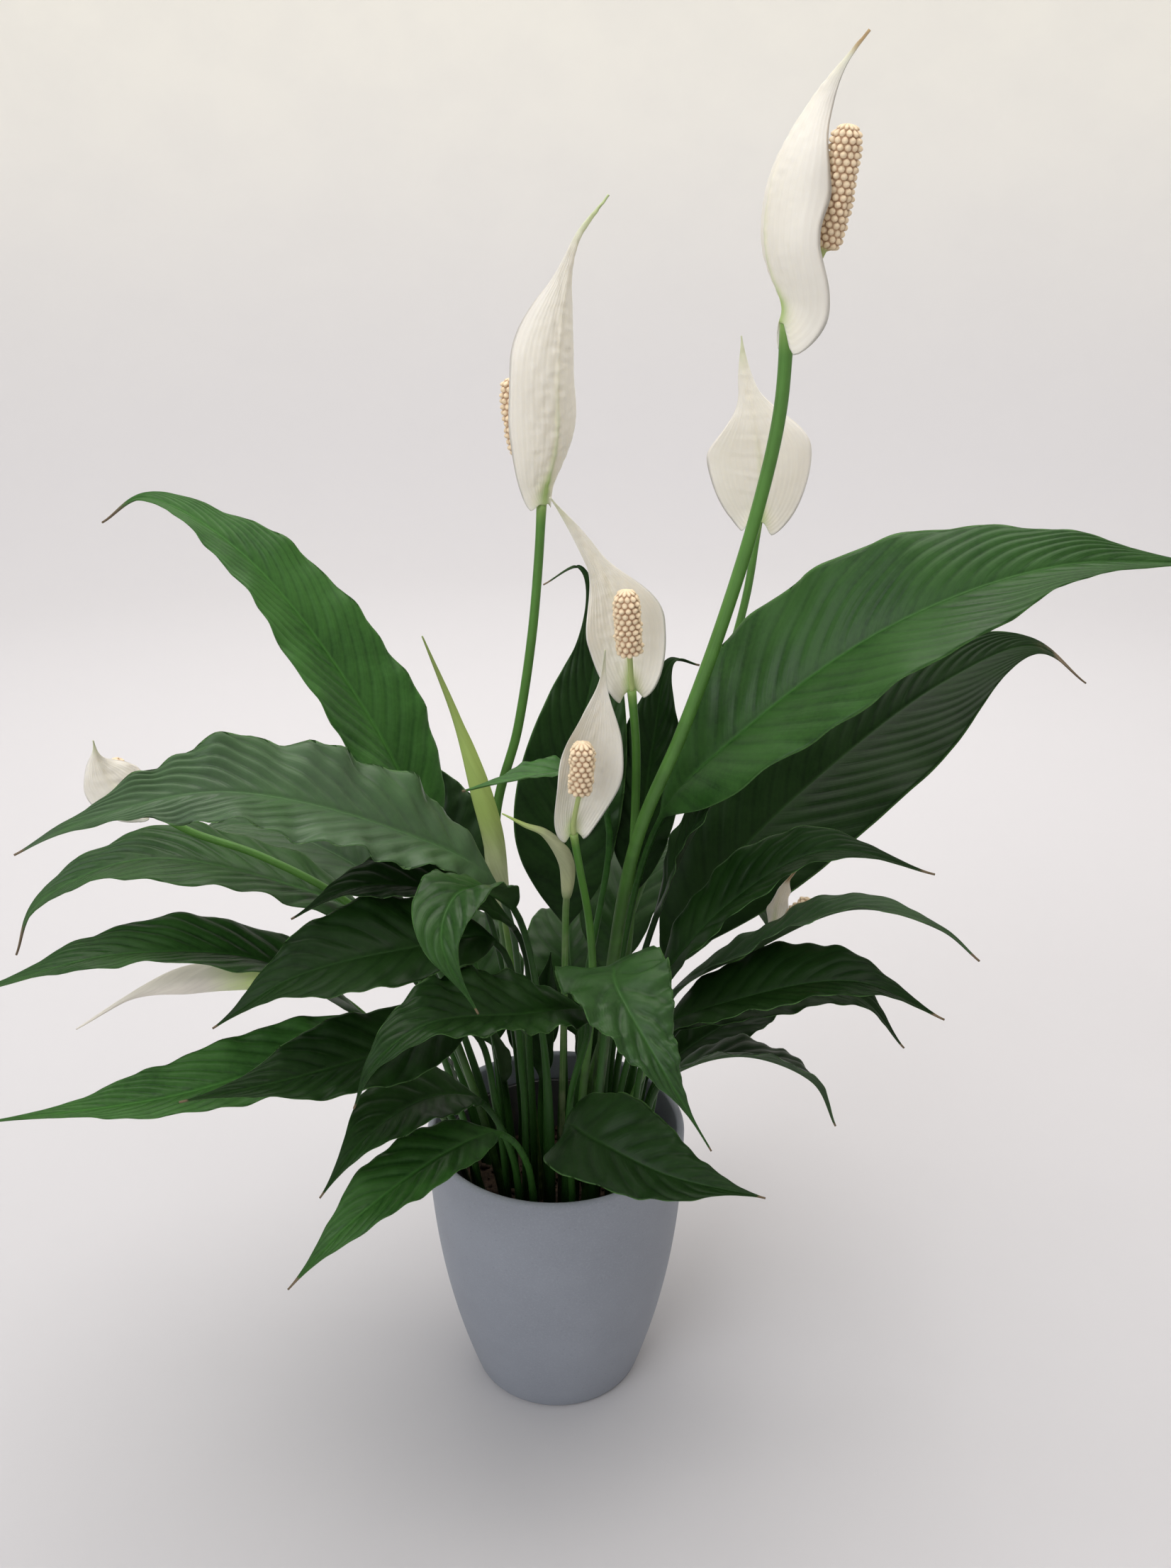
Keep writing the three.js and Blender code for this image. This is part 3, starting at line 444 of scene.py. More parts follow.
class Path:
    """The centripetal Catmull-Rom curve through some points.

    Each span is the cubic that leaves and reaches its two ends along tangents worked out
    from the neighbouring points, with knots spaced by the square root of the distance.
    """

    PER_SPAN = 40

    def __init__(self, points):
        points = np.asarray(points, float)
        ends = np.vstack([2 * points[0] - points[1], points, 2 * points[-1] - points[-2]])
        gaps = np.linalg.norm(np.diff(ends, axis=0), axis=1)[:, None] ** 0.5
        before, span, after = gaps[:-2], gaps[1:-1], gaps[2:]
        a, b, c, d = ends[:-3], ends[1:-2], ends[2:-1], ends[3:]
        leave = ((b - a) / before - (c - a) / (before + span) + (c - b) / span) * span
        reach = ((c - b) / span - (d - b) / (span + after) + (d - c) / after) * span
        u = np.linspace(0, 1, self.PER_SPAN, endpoint=False)[None, :, None]
        b, c, leave, reach = (v[:, None, :] for v in (b, c, leave, reach))
        dense = ((2 * u**3 - 3 * u**2 + 1) * b + (u**3 - 2 * u**2 + u) * leave
                 + (3 * u**2 - 2 * u**3) * c + (u**3 - u**2) * reach)
        self.dense = np.vstack([dense.reshape(-1, 3), points[-1:]])
        steps = np.linalg.norm(np.diff(self.dense, axis=0), axis=1)
        self.runs = np.concatenate([[0], np.cumsum(steps)])
        self.length = self.runs[-1]

    def share_at(self, index):
        """The share of the length at one of the points."""
        return self.runs[self.PER_SPAN * index] / self.length

    def at(self, shares):
        """Points at these shares of the length."""
        run = np.clip(shares, 0, 1) * self.length
        return np.stack([np.interp(run, self.runs, self.dense[:, k]) for k in range(3)], axis=-1)

    def frames(self, shares, heading, roll):
        """Centres, and unit vectors along, to the left and up, at these shares.

        Left is the level direction across the heading, made square to the curve and then
        turned about it by the roll; up is along x left.
        """
        reach = 0.004
        along = self.at(shares + reach) - self.at(shares - reach)
        along /= np.linalg.norm(along, axis=-1, keepdims=True)
        across = np.array([-math.sin(heading), math.cos(heading), 0])
        left = across - along * (along @ across)[..., None]
        left /= np.linalg.norm(left, axis=-1, keepdims=True)
        up = np.cross(along, left)
        cos, sin = np.cos(roll)[..., None], np.sin(roll)[..., None]
        return self.at(shares), along, left * cos + up * sin, up * cos - left * sin


def outline(t, powers):
    """A blade's width along its length, 1 at its widest: t^wide * (1 - t)^taper, scaled."""
    wide, taper = powers
    peak = wide / (wide + taper)
    t = np.clip(t, 0, 1)
    return t**wide * (1 - t) ** taper / (peak**wide * (1 - peak) ** taper)


def ripples(x, y, size, seed, waves=10):
    """Smooth even bumps between about -1 and 1: the mean of sine waves in seeded directions."""
    random = np.random.default_rng(seed)
    total = 0
    for turn, phase, scale in random.random((waves, 3)):
        pitch = 2 * math.pi / (size * (0.7 + 0.6 * scale))
        total = total + np.sin(pitch * (x * math.cos(2 * math.pi * turn)
                                        + y * math.sin(2 * math.pi * turn)) + 2 * math.pi * phase)
    return total / math.sqrt(waves)


# ---- meshes -------------------------------------------------------------------------


def skin(rings):
    """Points, quads and triangles of a closed skin over rings, with a fan over each end."""
    rows, columns, _ = rings.shape
    points = np.vstack([rings.reshape(-1, 3), rings[0].mean(0), rings[-1].mean(0)])
    corner = np.arange(rows * columns).reshape(rows, columns)
    turned = np.roll(corner, -1, axis=1)
    quads = np.stack([corner[:-1], turned[:-1], turned[1:], corner[1:]], axis=-1).reshape(-1, 4)
    first = np.full(columns, rows * columns)
    start = np.stack([first, turned[0], corner[0]], axis=-1)
    end = np.stack([first + 1, corner[-1], turned[-1]], axis=-1)
    return points, quads, np.vstack([start, end])


def make_mesh(name, points, quads, triangles, marks=None):
    """A smooth mesh from arrays of points and faces, with one number per point for each mark."""
    mesh = bpy.data.meshes.new(name)
    mesh.vertices.add(len(points))
    mesh.vertices.foreach_set("co", np.asarray(points, np.float32).ravel())
    corners = np.concatenate([quads.ravel(), triangles.ravel()]).astype(np.int32)
    mesh.loops.add(len(corners))
    mesh.loops.foreach_set("vertex_index", corners)
    sizes = np.concatenate([np.full(len(quads), 4), np.full(len(triangles), 3)])
    starts = np.concatenate([[0], np.cumsum(sizes)[:-1]]).astype(np.int32)
    mesh.polygons.add(len(sizes))
    mesh.polygons.foreach_set("loop_start", starts)
    mesh.update(calc_edges=True)
    mesh.shade_smooth()
    for mark, values in (marks or {}).items():
        layer = mesh.attributes.new(mark, "FLOAT", "POINT")
        layer.data.foreach_set("value", np.asarray(values, np.float32))
    return mesh


def show(mesh, material, node):
    """Puts a finished mesh in the scene, in place of any CAD node named."""
    mesh.materials.append(material)
    piece = bpy.data.objects.new(mesh.name, mesh)
    bpy.context.scene.collection.objects.link(piece)
    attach(piece, "root")
    if node:
        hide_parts(node)
    return piece


def show_skin(name, rings, marks, material, slot, node=None):
    """A closed skin over rings, with marks given ring by ring, in place of any CAD node named."""
    ends = {mark: np.concatenate([values.ravel(), [values[0].mean(), values[-1].mean()]])
            for mark, values in marks.items()}
    return show(make_mesh(name, *skin(rings), ends), material, node)


def lathe(profile, sides):
    """Rings of a profile of (radius, height) points turned about the Z axis."""
    turn = 2 * math.pi * np.arange(sides) / sides
    radius, height = np.asarray(profile, float).T
    return np.stack([radius[:, None] * np.cos(turn), radius[:, None] * np.sin(turn),
                     np.broadcast_to(height[:, None], (len(radius), sides))], axis=-1)


def tube(path, share, radius, turn, heading=0):
    """Rings of points this far from the path at each share, turned this far round it."""
    centre, _, left, up = (part[:, None] for part in path.frames(share, heading, 0 * share))
    return (centre + left * (radius * np.cos(turn))[..., None]
            + up * (radius * np.sin(turn))[..., None])


def spread(shape, **marks):
    """The marks, each with a number for every point of the rings."""
    return {mark: np.broadcast_to(values, shape) for mark, values in marks.items()}


def copied(size, quads, triangles, count):
    """The faces of copies of a skin, whose points follow one another."""
    start = (np.arange(count) * size)[:, None, None]
    return (quads + start).reshape(-1, 4), (triangles + start).reshape(-1, 3)


# ---- materials ----------------------------------------------------------------------


class Finish:
    """A node material: each call adds a node and gives back the socket that it puts out."""

    def __init__(self, name):
        self.material = bpy.data.materials.new(name)
        self.material.use_nodes = True
        self.tree = self.material.node_tree
        self.shader = self.tree.nodes["Principled BSDF"]

    def put(self, socket, value):
        if isinstance(value, bpy.types.NodeSocket):
            self.tree.links.new(value, socket)
        elif socket.type == "RGBA" and len(value) == 3:
            socket.default_value = (*value, 1)
        else:
            socket.default_value = value

    def add(self, kind, output, inputs, **choices):
        node = self.tree.nodes.new(kind)
        for key, value in choices.items():
            setattr(node, key, value)
        for key, value in inputs.items():
            self.put(node.inputs[key], value)
        return node.outputs[output]

    def place(self):
        return self.add("ShaderNodeTexCoord", "Object", {})

    def mark(self, name):
        return self.add("ShaderNodeAttribute", "Fac", {}, attribute_name=name)

    def sum(self, operation, a, b=0.0, clamp=False):
        return self.add("ShaderNodeMath", 0, {0: a, 1: b, 2: 0.0}, operation=operation,
                        use_clamp=clamp)

    def times(self, a, b, clamp=False):
        return self.sum("MULTIPLY", a, b, clamp)

    def plus(self, a, b, clamp=False):
        return self.sum("ADD", a, b, clamp)

    def cosine(self, value, factor):
        return self.sum("COSINE", self.times(value, factor))

    def band(self, value, low, high, to_low=0.0, to_high=1.0):
        """Smoothly from to_low to to_high as the value goes from low to high."""
        return self.add("ShaderNodeMapRange", "Result", {
            "Value": value, "From Min": low, "From Max": high, "To Min": to_low, "To Max": to_high,
        }, interpolation_type="SMOOTHSTEP")

    def noise(self, where, scale, detail=3.0, rough=0.55):
        return self.add("ShaderNodeTexNoise", "Fac", {
            "Vector": where, "Scale": scale, "Detail": detail, "Roughness": rough})

    def lines(self, along, across_scale, along_scale):
        """Noise drawn out into lines along a stalk."""
        return self.noise(self.vector(self.times(self.mark("round"), across_scale),
                                      self.times(along, along_scale)), 1.0, 2)

    def cells(self, where, scale):
        return self.add("ShaderNodeTexVoronoi", "Distance", {"Vector": where, "Scale": scale})

    def vector(self, x, y=0.0, z=0.0):
        return self.add("ShaderNodeCombineXYZ", 0, {0: x, 1: y, 2: z})

    def blend(self, share, a, b, how="MIX"):
        return self.add("ShaderNodeMix", 2, {0: share, 6: a, 7: b}, data_type="RGBA",
                        blend_type=how, clamp_factor=True)

    def coats(self, body, *coats):
        """The body colour under some coats, each the share and the colour laid over by it."""
        for share, tint in coats:
            body = self.blend(share, body, tint)
        return body

    def bump(self, height, distance, strength=1.0, over=None):
        inputs = {"Height": height, "Distance": distance, "Strength": strength}
        if over is not None:
            inputs["Normal"] = over
        return self.add("ShaderNodeBump", 0, inputs)

    def surface(self, **inputs):
        for key, value in inputs.items():
            self.put(self.shader.inputs[key.replace("_", " ")], value)
        return self.material


def scaled(tint, share):
    return tuple(min(1, part * share) for part in tint)


def leaf_finish(look):
    """Satin green with painted shade along the creases and a painted grey sheen on some leaves;
    paler at the midrib and margin, dry at the tip.

    The marks on the mesh say where: vein counts the side veins, across goes from -1 to 1
    between the margins, along from 0 to 1 up the blade, and under is 1 on the underside.
    """
    leaf = Finish("leaf green")
    where = leaf.place()
    across = leaf.sum("ABSOLUTE", leaf.mark("across"))
    along, tone, vein, under = (leaf.mark(name) for name in ("along", "tone", "vein", "under"))
    crease, fine = leaf.cosine(vein, 2 * math.pi), leaf.cosine(vein, 8 * math.pi)
    patches, grain = leaf.noise(where, 28, 4), leaf.noise(where, 420, 3)
    # Painted shade: the lift drops towards the deep green along each crease.
    lift = leaf.plus(leaf.band(crease, 0.7, 1, 0.0, -0.35), leaf.times(fine, 0.06))
    lift = leaf.plus(lift, leaf.band(patches, 0.3, 0.7, 0.3, 0.85), clamp=True)
    top = leaf.coats(
        look.deep_green, (lift, look.fresh_green),
        (leaf.band(grain, 0.35, 0.65, 0.0, 0.16), scaled(look.fresh_green, 1.5)))
    below = leaf.coats(scaled(look.under_green, 0.8),
                       (leaf.band(patches, 0.3, 0.7), look.under_green))
    rib = leaf.times(leaf.band(leaf.mark("rib"), 0.35, 0.95, 0.0, 0.4),
                     leaf.band(along, 0.75, 1, 1.0, 0.0))
    # Painted sheen: the grey mark lays a greyish reflection of the light over some leaves, in
    # patches.
    grey = leaf.times(leaf.mark("grey"), leaf.band(leaf.noise(where, 18, 3), 0.3, 0.65, 0.5, 1.0))
    edge = leaf.times(leaf.band(across, 0.965, 0.995, 0.0, 0.5), leaf.band(along, 0, 0.1))
    dry = leaf.band(leaf.noise(where, 90, 3), 0.3, 0.7, -0.25, 0.25)
    dry = leaf.band(leaf.plus(leaf.mark("dry"), dry, clamp=True), 0.3, 0.75)
    body = leaf.coats(top, (under, below), (rib, scaled(look.fresh_green, 1.8)), (grey, look.painted_sheen))
    body = leaf.coats(
        # The tone lightens or darkens the whole blade: partly its own green, partly painted shade
        # for leaves deep in the crown.
        leaf.blend(1.0, body, leaf.vector(tone, tone, tone), "MULTIPLY"),
        (edge, scaled(look.under_green, 2)),
        (dry, look.dry_brown),
        # Down the stalk: paler green just under the blade, its own colour, then painted shade
        # darkening it towards the soil.
        (leaf.band(along, -0.3, 0.0, 0.7, 0.0), scaled(look.fresh_green, 0.8)),
        (leaf.band(along, -1.0, -0.25, 0.9, 0.0), scaled(look.deep_green, 0.4)))
    threads = leaf.noise(leaf.vector(leaf.times(vein, 9), leaf.times(across, 2)), 1.0, 2)
    gloss = leaf.plus(leaf.band(patches, 0.3, 0.7, 0.33, 0.46), leaf.times(under, 0.18))
    return leaf.surface(
        Base_Color=body, Roughness=gloss,
        Normal=leaf.bump(grain, 0.00008, 0.5, leaf.bump(threads, 0.00025, 0.5)),
        Specular_IOR_Level=leaf.band(tone, 0.15, 0.6, 0.1, 0.22))


def hood_finish(look):
    """Soft ivory with faint long veins, greener at the foot and tip, withered at the tip."""
    hood = Finish("hood ivory")
    where = hood.place()
    veins = hood.cosine(hood.sum("ABSOLUTE", hood.mark("across")), 60.0)
    patches, grain = hood.noise(where, 40, 3), hood.noise(where, 600, 2)
    green = hood.times(hood.mark("green"), hood.band(patches, 0.2, 0.7, 1.1, 0.8), clamp=True)
    brown = hood.plus(hood.mark("brown"), hood.band(patches, 0.3, 0.7, -0.2, 0.2), clamp=True)
    specks = hood.band(hood.cells(where, 75), 0.03, 0.06, 1.0, 0.0)
    sparse = hood.band(hood.noise(where, 9, 0), 0.66, 0.7)
    body = hood.coats(
        scaled(look.ivory, 0.93),
        (hood.band(patches, 0.3, 0.7), look.ivory),
        (hood.band(veins, 0.4, 1, 0.0, 0.08), scaled(look.ivory, 0.8)),
        (green, (0.33, 0.48, 0.12)),
        (hood.band(brown, 0.2, 0.8), (0.42, 0.29, 0.15)),
        (hood.times(specks, sparse), (0.12, 0.08, 0.04)))
    return hood.surface(
        Base_Color=body, Roughness=0.5, Specular_IOR_Level=0.35,
        Normal=hood.bump(grain, 0.0001, 0.5, hood.bump(veins, 0.0001, 0.4)),
        Subsurface_Weight=0.4, Subsurface_Radius=(1.0, 0.9, 0.7), Subsurface_Scale=0.003)


def stalk_finish(look):
    """Fleshy green, brighter towards the flower because painted shade darkens it towards the soil,
    with fine lines along it.
    """
    stalk = Finish("stalk green")
    along = stalk.mark("along")
    patches = stalk.noise(stalk.place(), 60, 3)
    lines = stalk.lines(along, 30.0, 6.0)
    body = stalk.coats(
        # Painted shade: near black at the foot, full green only high up the stalk.
        scaled(look.stalk_green, 0.14),
        (stalk.band(along, 0.1, 0.85), look.stalk_green),
        (stalk.band(along, 0.97, 1.0, 0.0, 0.5), (0.4, 0.52, 0.16)),
        (stalk.band(patches, 0.35, 0.65, 0.0, 0.25), scaled(look.stalk_green, 1.6)),
        (stalk.band(lines, 0.4, 0.7, 0.0, 0.3), scaled(look.stalk_green, 0.5)))
    return stalk.surface(Base_Color=body, Roughness=0.42, Specular_IOR_Level=0.45,
                         Normal=stalk.bump(lines, 0.00015, 0.5))


def spike_finish(look):
    """Cream knobs with brownish pink painted shade between them and a painted highlight on their
    tops.
    """
    spike = Finish("spike cream")
    where, knob = spike.place(), spike.mark("knob")
    patches = spike.noise(where, 150, 3)
    body = spike.coats(
        # Painted shade and highlight: tan between the knobs, cream on them and paler on their tops.
        look.tan,
        (spike.band(knob, 0.1, 0.75), look.cream),
        (spike.band(knob, 0.88, 1.0, 0.0, 0.5), scaled(look.cream, 1.18)),
        (spike.band(patches, 0.4, 0.7, 0.0, 0.3), scaled(look.cream, 0.8)),
        (spike.mark("neck"), (0.42, 0.5, 0.2)))
    return spike.surface(Base_Color=body, Roughness=0.62, Specular_IOR_Level=0.3,
                         Normal=spike.bump(spike.noise(where, 900, 2), 0.0001, 0.5))


def bud_finish(look, name, foot, middle, tip):
    """A bud's colour from its stalk through its middle to its tip, with lines along it."""
    bud = Finish(name)
    along = bud.mark("along")
    patches = bud.noise(bud.place(), 70, 3)
    lines = bud.lines(along, 24.0, 5.0)
    body = bud.coats(
        # Painted shade: the stalk darkens towards the soil.
        scaled(look.stalk_green, 0.2),
        (bud.band(along, -0.9, -0.1), look.stalk_green),
        (bud.band(along, -0.05, 0.12), foot),
        (bud.band(along, 0.1, 0.4), middle),
        (bud.band(along, 0.55, 0.95), tip),
        (bud.band(patches, 0.4, 0.7, 0.0, 0.25), scaled(middle, 0.8)),
        (bud.band(lines, 0.45, 0.7, 0.0, 0.25), scaled(middle, 0.65)))
    return bud.surface(Base_Color=body, Roughness=0.48, Specular_IOR_Level=0.4,
                       Normal=bud.bump(lines, 0.0002, 0.5))


def glaze_finish(look):
    """Matte blue-grey glaze: a fine grain, faint clouds and slightly paler high spots."""
    glaze = Finish("blue-grey glaze")
    where = glaze.place()
    clouds, grain = glaze.noise(where, 14, 4), glaze.noise(where, 900, 3)
    pits = glaze.band(glaze.cells(where, 260), 0.05, 0.22, 1.0, 0.0)
    body = glaze.coats(
        scaled(look.glaze, 0.94),
        (glaze.band(clouds, 0.3, 0.7), scaled(look.glaze, 1.05)),
        (glaze.band(grain, 0.45, 0.7, 0.0, 0.35), scaled(look.glaze, 1.3)),
        (glaze.times(pits, 0.3), scaled(look.glaze, 0.7)))
    return glaze.surface(
        Base_Color=body, Roughness=glaze.band(grain, 0.3, 0.7, 0.48, 0.62), Specular_IOR_Level=0.4,
        Normal=glaze.bump(clouds, 0.0006, 0.4, glaze.bump(grain, 0.00012, 0.6)))


def plastic_finish(look):
    """Black moulded plastic with a soft shine, scuffs and a little peat dust."""
    plastic = Finish("black plastic")
    where = plastic.place()
    scuffs = plastic.noise(where, 160, 4)
    dust = plastic.band(plastic.noise(where, 45, 4), 0.52, 0.75, 0.0, 0.35)
    return plastic.surface(
        Base_Color=plastic.coats(look.plastic, (dust, (0.07, 0.05, 0.035))),
        Roughness=plastic.band(scuffs, 0.3, 0.7, 0.3, 0.5), Specular_IOR_Level=0.5,
        Normal=plastic.bump(scuffs, 0.00015, 0.5))


def peat_finish(look):
    """Dark damp peat with brown fibres and paler crumbs."""
    peat = Finish("damp peat")
    where = peat.place()
    lumps, grain = peat.noise(where, 110, 5, 0.65), peat.noise(where, 700, 4, 0.7)
    body = peat.coats(
        scaled(look.peat, 0.45),
        (peat.band(lumps, 0.35, 0.65), scaled(look.peat, 1.5)),
        (peat.band(grain, 0.6, 0.75, 0.0, 0.6), scaled(look.peat, 3.2)))
    return peat.surface(Base_Color=body, Roughness=0.92, Specular_IOR_Level=0.25,
                        Normal=peat.bump(lumps, 0.002, 0.8, peat.bump(grain, 0.0006, 0.8)))


def floor_finish(look):
    """Plain pale paper with painted light: warmer and lighter up the wall, and with painted shade a
    touch darker at the front.
    """
    floor = Finish("pale floor")
    where = floor.place()
    deep, high = (floor.add("ShaderNodeSeparateXYZ", axis, {0: where}) for axis in "YZ")
    body = floor.coats(
        # Painted shade: darker towards the front. Painted light: lighter and warmer up the wall.
        scaled(look.floor, 0.8),
        (floor.band(deep, -0.6, 1.4), look.floor),
        (floor.band(high, 0.0, 1.3), look.wall),
        (floor.band(floor.noise(where, 5, 3), 0.3, 0.7, 0.0, 0.1), scaled(look.floor, 0.97)))
    return floor.surface(Base_Color=body, Roughness=0.85, Specular_IOR_Level=0.2)


# ---- surfaces -----------------------------------------------------------------------


def ring_numbers(columns):
    """For each point of a ring that is flattened into two sides: how far across it is, from
    1 at the left margin to -1 at the right and back, its angle, and 1 above or -1 below.

    The flat spacing is |x|^1.35, so that points crowd towards the midrib.
    """
    turn = np.arange(2 * columns) / columns
    flat = 2 * np.abs(turn - 1) - 1
    flat = np.sign(flat) * np.abs(flat) ** 1.35
    side = np.where((turn > 0) & (turn < 1), 1, np.where(turn > 1, -1, 0))
    return flat, math.pi * turn, side


def heading_of(points, base, given):
    """The level direction that a blade runs in: as given, or from its base to its tip."""
    if given is not None:
        return math.radians(given)
    run = points[-1] - points[base]
    return math.atan2(run[1], run[0])


def leaf_skin(leaf, settings, seed):
    """Rings and marks of a leaf, stalk and blade in one.

    A point lies at centre(t) + left * s * half width + up * lift. Its place t along the
    blade is q + sweep * q * (1 - q) * |s|^1.3 for row q, so that rows run like the side
    veins. The lift is the fold, which eases off towards the margin, less the creases
    depth * cos(pi * vein number)^6, plus the margin's waves, which grow as s^2, plus or
    minus half the thickness, with a groove above the midrib and a keel below it.
    """
    random = np.random.default_rng(seed)
    points = np.vstack([rooted(leaf["stalk"]), planted(leaf["rib"])])
    path = Path(points)
    foot = len(leaf["stalk"])
    base = path.share_at(foot)
    blade_length = path.length * (1 - base)
    heading = heading_of(points, foot, leaf["heading"])
    flat, angle, side = ring_numbers(settings.columns)
    rows = max(60, int(settings.rows * min(1, blade_length / 0.2)))
    q = np.concatenate([np.linspace(-1, 0, 24, endpoint=False), np.linspace(0, 1, rows)])[:, None]
    on_blade = np.clip(q, 0, 1)
    flatness = smoothstep(0, BLADE_FLAT_AFTER, on_blade)
    s = (1 - flatness) * np.cos(angle) + flatness * flat
    sweep = 0.95 * on_blade * (1 - on_blade) * np.abs(s) ** 1.3
    t = np.clip(q + sweep * flatness, -1, 1)
    on_blade = np.clip(t, 0, 1)
    share = np.where(t < 0, base * (1 + t), base + (1 - base) * on_blade)
    roll_from, roll_to = np.radians(leaf["roll"])
    roll = roll_from + (roll_to - roll_from) * on_blade
    centre, _, left, up = path.frames(share, heading, roll)

    taper = np.where(t < 0, 1 + (LEAF_STALK_TAPER - 1) * (1 + t),
                     LEAF_STALK_TAPER + (RIB_TIP_TAPER - LEAF_STALK_TAPER) * on_blade)
    radius = LEAF_STALK_RADIUS * MM * taper
    sheath = 1 + LEAF_SHEATH * smoothstep(-0.35, -0.8, t)
    phases = random.random(6) * 2 * math.pi
    wobble = 1 + 0.035 * np.sin(2 * math.pi * 2.3 * on_blade + phases[0] + 2 * np.sign(s))
    half = leaf["width"] * MM / 2 * outline(on_blade, leaf["full"]) * wobble
    half *= 1 - leaf["drip"] * smoothstep(0.6, 0.95, on_blade)
    half_width = np.hypot(half, radius)
    fold = math.radians(leaf["fold"]) * flatness
    out = np.abs(s)
    sideways = s * half_width * np.cos(fold) * sheath
    rise = half_width * np.sin(fold) * out * (1.45 - 0.45 * out)

    thick = settings.thickness / 2 * np.sqrt(np.clip(1 - out**8, 0, 1)) * side
    lift = (1 - flatness) * radius * np.sin(angle) + flatness * thick
    veins = blade_length / settings.vein_spacing
    vein = veins * q + 0.35 * np.sign(s) + 0.05 * np.sin(9 * on_blade + phases[1])
    inside = smoothstep(0.02, 0.3, out) * (1 - 0.45 * out**2) * flatness
    inside = inside * (1 - smoothstep(0.8, 1, on_blade)) * np.clip(half / 0.02, 0, 1)
    depth = settings.crease * leaf["creases"]
    valley = np.cos(math.pi * vein) ** 6
    lift = lift + depth * inside * (0.45 * np.cos(2 * math.pi * vein + math.pi) - 1.3 * valley)
    reach = flatness * (1 - smoothstep(0.75, 1, on_blade)) * np.clip(half / 0.016, 0, 1)
    swing = 2 * math.pi * leaf["waves"] * on_blade
    sway = np.where(s > 0, np.sin(swing + phases[2]), np.sin(1.13 * swing + phases[3]))
    small = np.sin(2.7 * swing + phases[4] + np.sign(s))
    ruffle = 0.6 * (np.abs(sway) ** 0.7 * np.sign(sway)) + 0.35 * small
    lift = lift + leaf["wave"] * MM * reach * out**2 * ruffle
    near_rib = np.exp(-((s * half_width / (1.1 * radius)) ** 2)) * flatness
    lift = lift + near_rib * np.where(side > 0, -0.35, np.where(side < 0, -1.0, 0)) * radius
    lift = lift + rise

    rings = centre + left * sideways[..., None] + up * lift[..., None]
    marks = spread(
        rings.shape[:2], across=s, along=t, vein=vein, rib=near_rib, under=(side < 0) * flatness,
        dry=smoothstep(1 - 1.6 * leaf["dry"], 1 - 0.4 * leaf["dry"], on_blade),
        tone=leaf["tone"], grey=leaf["grey"])
    return rings, marks


def hood_skin(flower, settings, seed):
    """Rings and marks of a hood.

    The midrib runs up the back. A ring is an arc whose ends stand up from it by the fold
    and whose middle bows out behind, so a point s of the way round the half width w lies
    at w / sin(fold) * (sin(s * fold), 1 - cos(s * fold)), before it is turned so that the
    margin keeps its width. The foot's margins hang back along the stalk by lobe * s^2.
    """
    random = np.random.default_rng(seed)
    path, facing = seated(flower, -0.6, flower["spathe"])
    flat, angle, side = ring_numbers(40)
    t = (np.linspace(0, 1, 120) ** 1.15)[:, None]
    flatness = smoothstep(0, 0.08, t)
    s = (1 - flatness) * np.cos(angle) + flatness * flat
    centre, along, left, up = path.frames(np.broadcast_to(t, s.shape), facing + math.pi, 0 * s)
    neck = flower["radii"][1] * MM * (0.75 + (RIB_TIP_TAPER - 0.75) * t)
    phases = random.random(4) * 2 * math.pi
    full = outline(t, HOOD_OUTLINE) * (1 + 0.04 * np.sin(7 * t + phases[0] + 1.5 * np.sign(s)))
    tail = flower["tail"]
    full = full * (1.04 - 0.72 * smoothstep(tail, tail + 0.38, t))
    half = flower["width"] * MM / 2 * full
    half_width = np.hypot(half, neck)
    fold = math.radians(flower["fold"]) * (0.15 + 0.85 * flatness)
    bow = 2 * fold
    arc = half_width / (2 * np.sin(fold))
    sideways = arc * np.sin(s * bow)
    rise = arc * (1 - np.cos(s * bow))
    out = np.abs(s)
    thick = settings.hood_thickness / 2 * np.sqrt(np.clip(1 - out**8, 0, 1)) * side
    lift = (1 - flatness) * neck * 0.8 * np.sin(angle) + flatness * thick
    veins = 0.00007 * np.cos(30 * out) * flatness * smoothstep(0.03, 0.2, out)
    sway = np.sin(5.5 * t * math.pi + phases[1] + np.sign(s) * 1.2)
    waves = 0.0016 * flatness * out**3 * sway * np.clip(half / 0.01, 0, 1)
    x, y = s * half_width, t * path.length
    pebbles = flower["pebbles"] * MM * ripples(x, y, 0.0055, seed) * flatness * (1 - out**2)
    rib = np.exp(-((x / 0.0014) ** 2)) * flatness * (1 - 0.8 * t)
    keel = np.where(side < 0, -0.0009, 0.0002) * rib
    lift = lift + veins + waves + pebbles + keel + rise
    hang = flower["lobe"] * MM * s**2 * smoothstep(0, 0.03, t) * (1 - smoothstep(0.02, 0.3, t))
    rings = (centre + left * sideways[..., None] + up * lift[..., None]
             - along * np.broadcast_to(hang, s.shape)[..., None])
    foot = (1 - smoothstep(0.0, 0.16, t)) * np.exp(-(x / 0.004) ** 2)
    spine = 0.5 * rib * (1 - smoothstep(0.1, 0.6, t))
    tip = flower["green"] * smoothstep(0.78, 0.97, t)
    brown = smoothstep(1 - 1.4 * flower["brown"] - 0.001, 1, t) * (flower["brown"] > 0)
    return rings, spread(s.shape, across=s, green=np.clip(foot + spine + tip, 0, 1), brown=brown)


def seated(flower, offset, points):
    """The path of a piece that grows from the scape's top, and the side the flower faces."""
    scape = Path(rooted(flower["scape"]))
    top = np.array([1.0])
    centre, along, _, _ = scape.frames(top, 0, np.zeros(1))
    facing = math.radians(flower["faces"])
    radius = flower["radii"][1] * MM
    toward = np.array([math.cos(facing), math.sin(facing), 0])
    start = centre[0] - along[0] * 0.001 + toward * offset * radius
    straight = start + along[0] * (0.001 + 1.5 * radius)
    return Path(np.vstack([start, straight, planted(points)])), facing


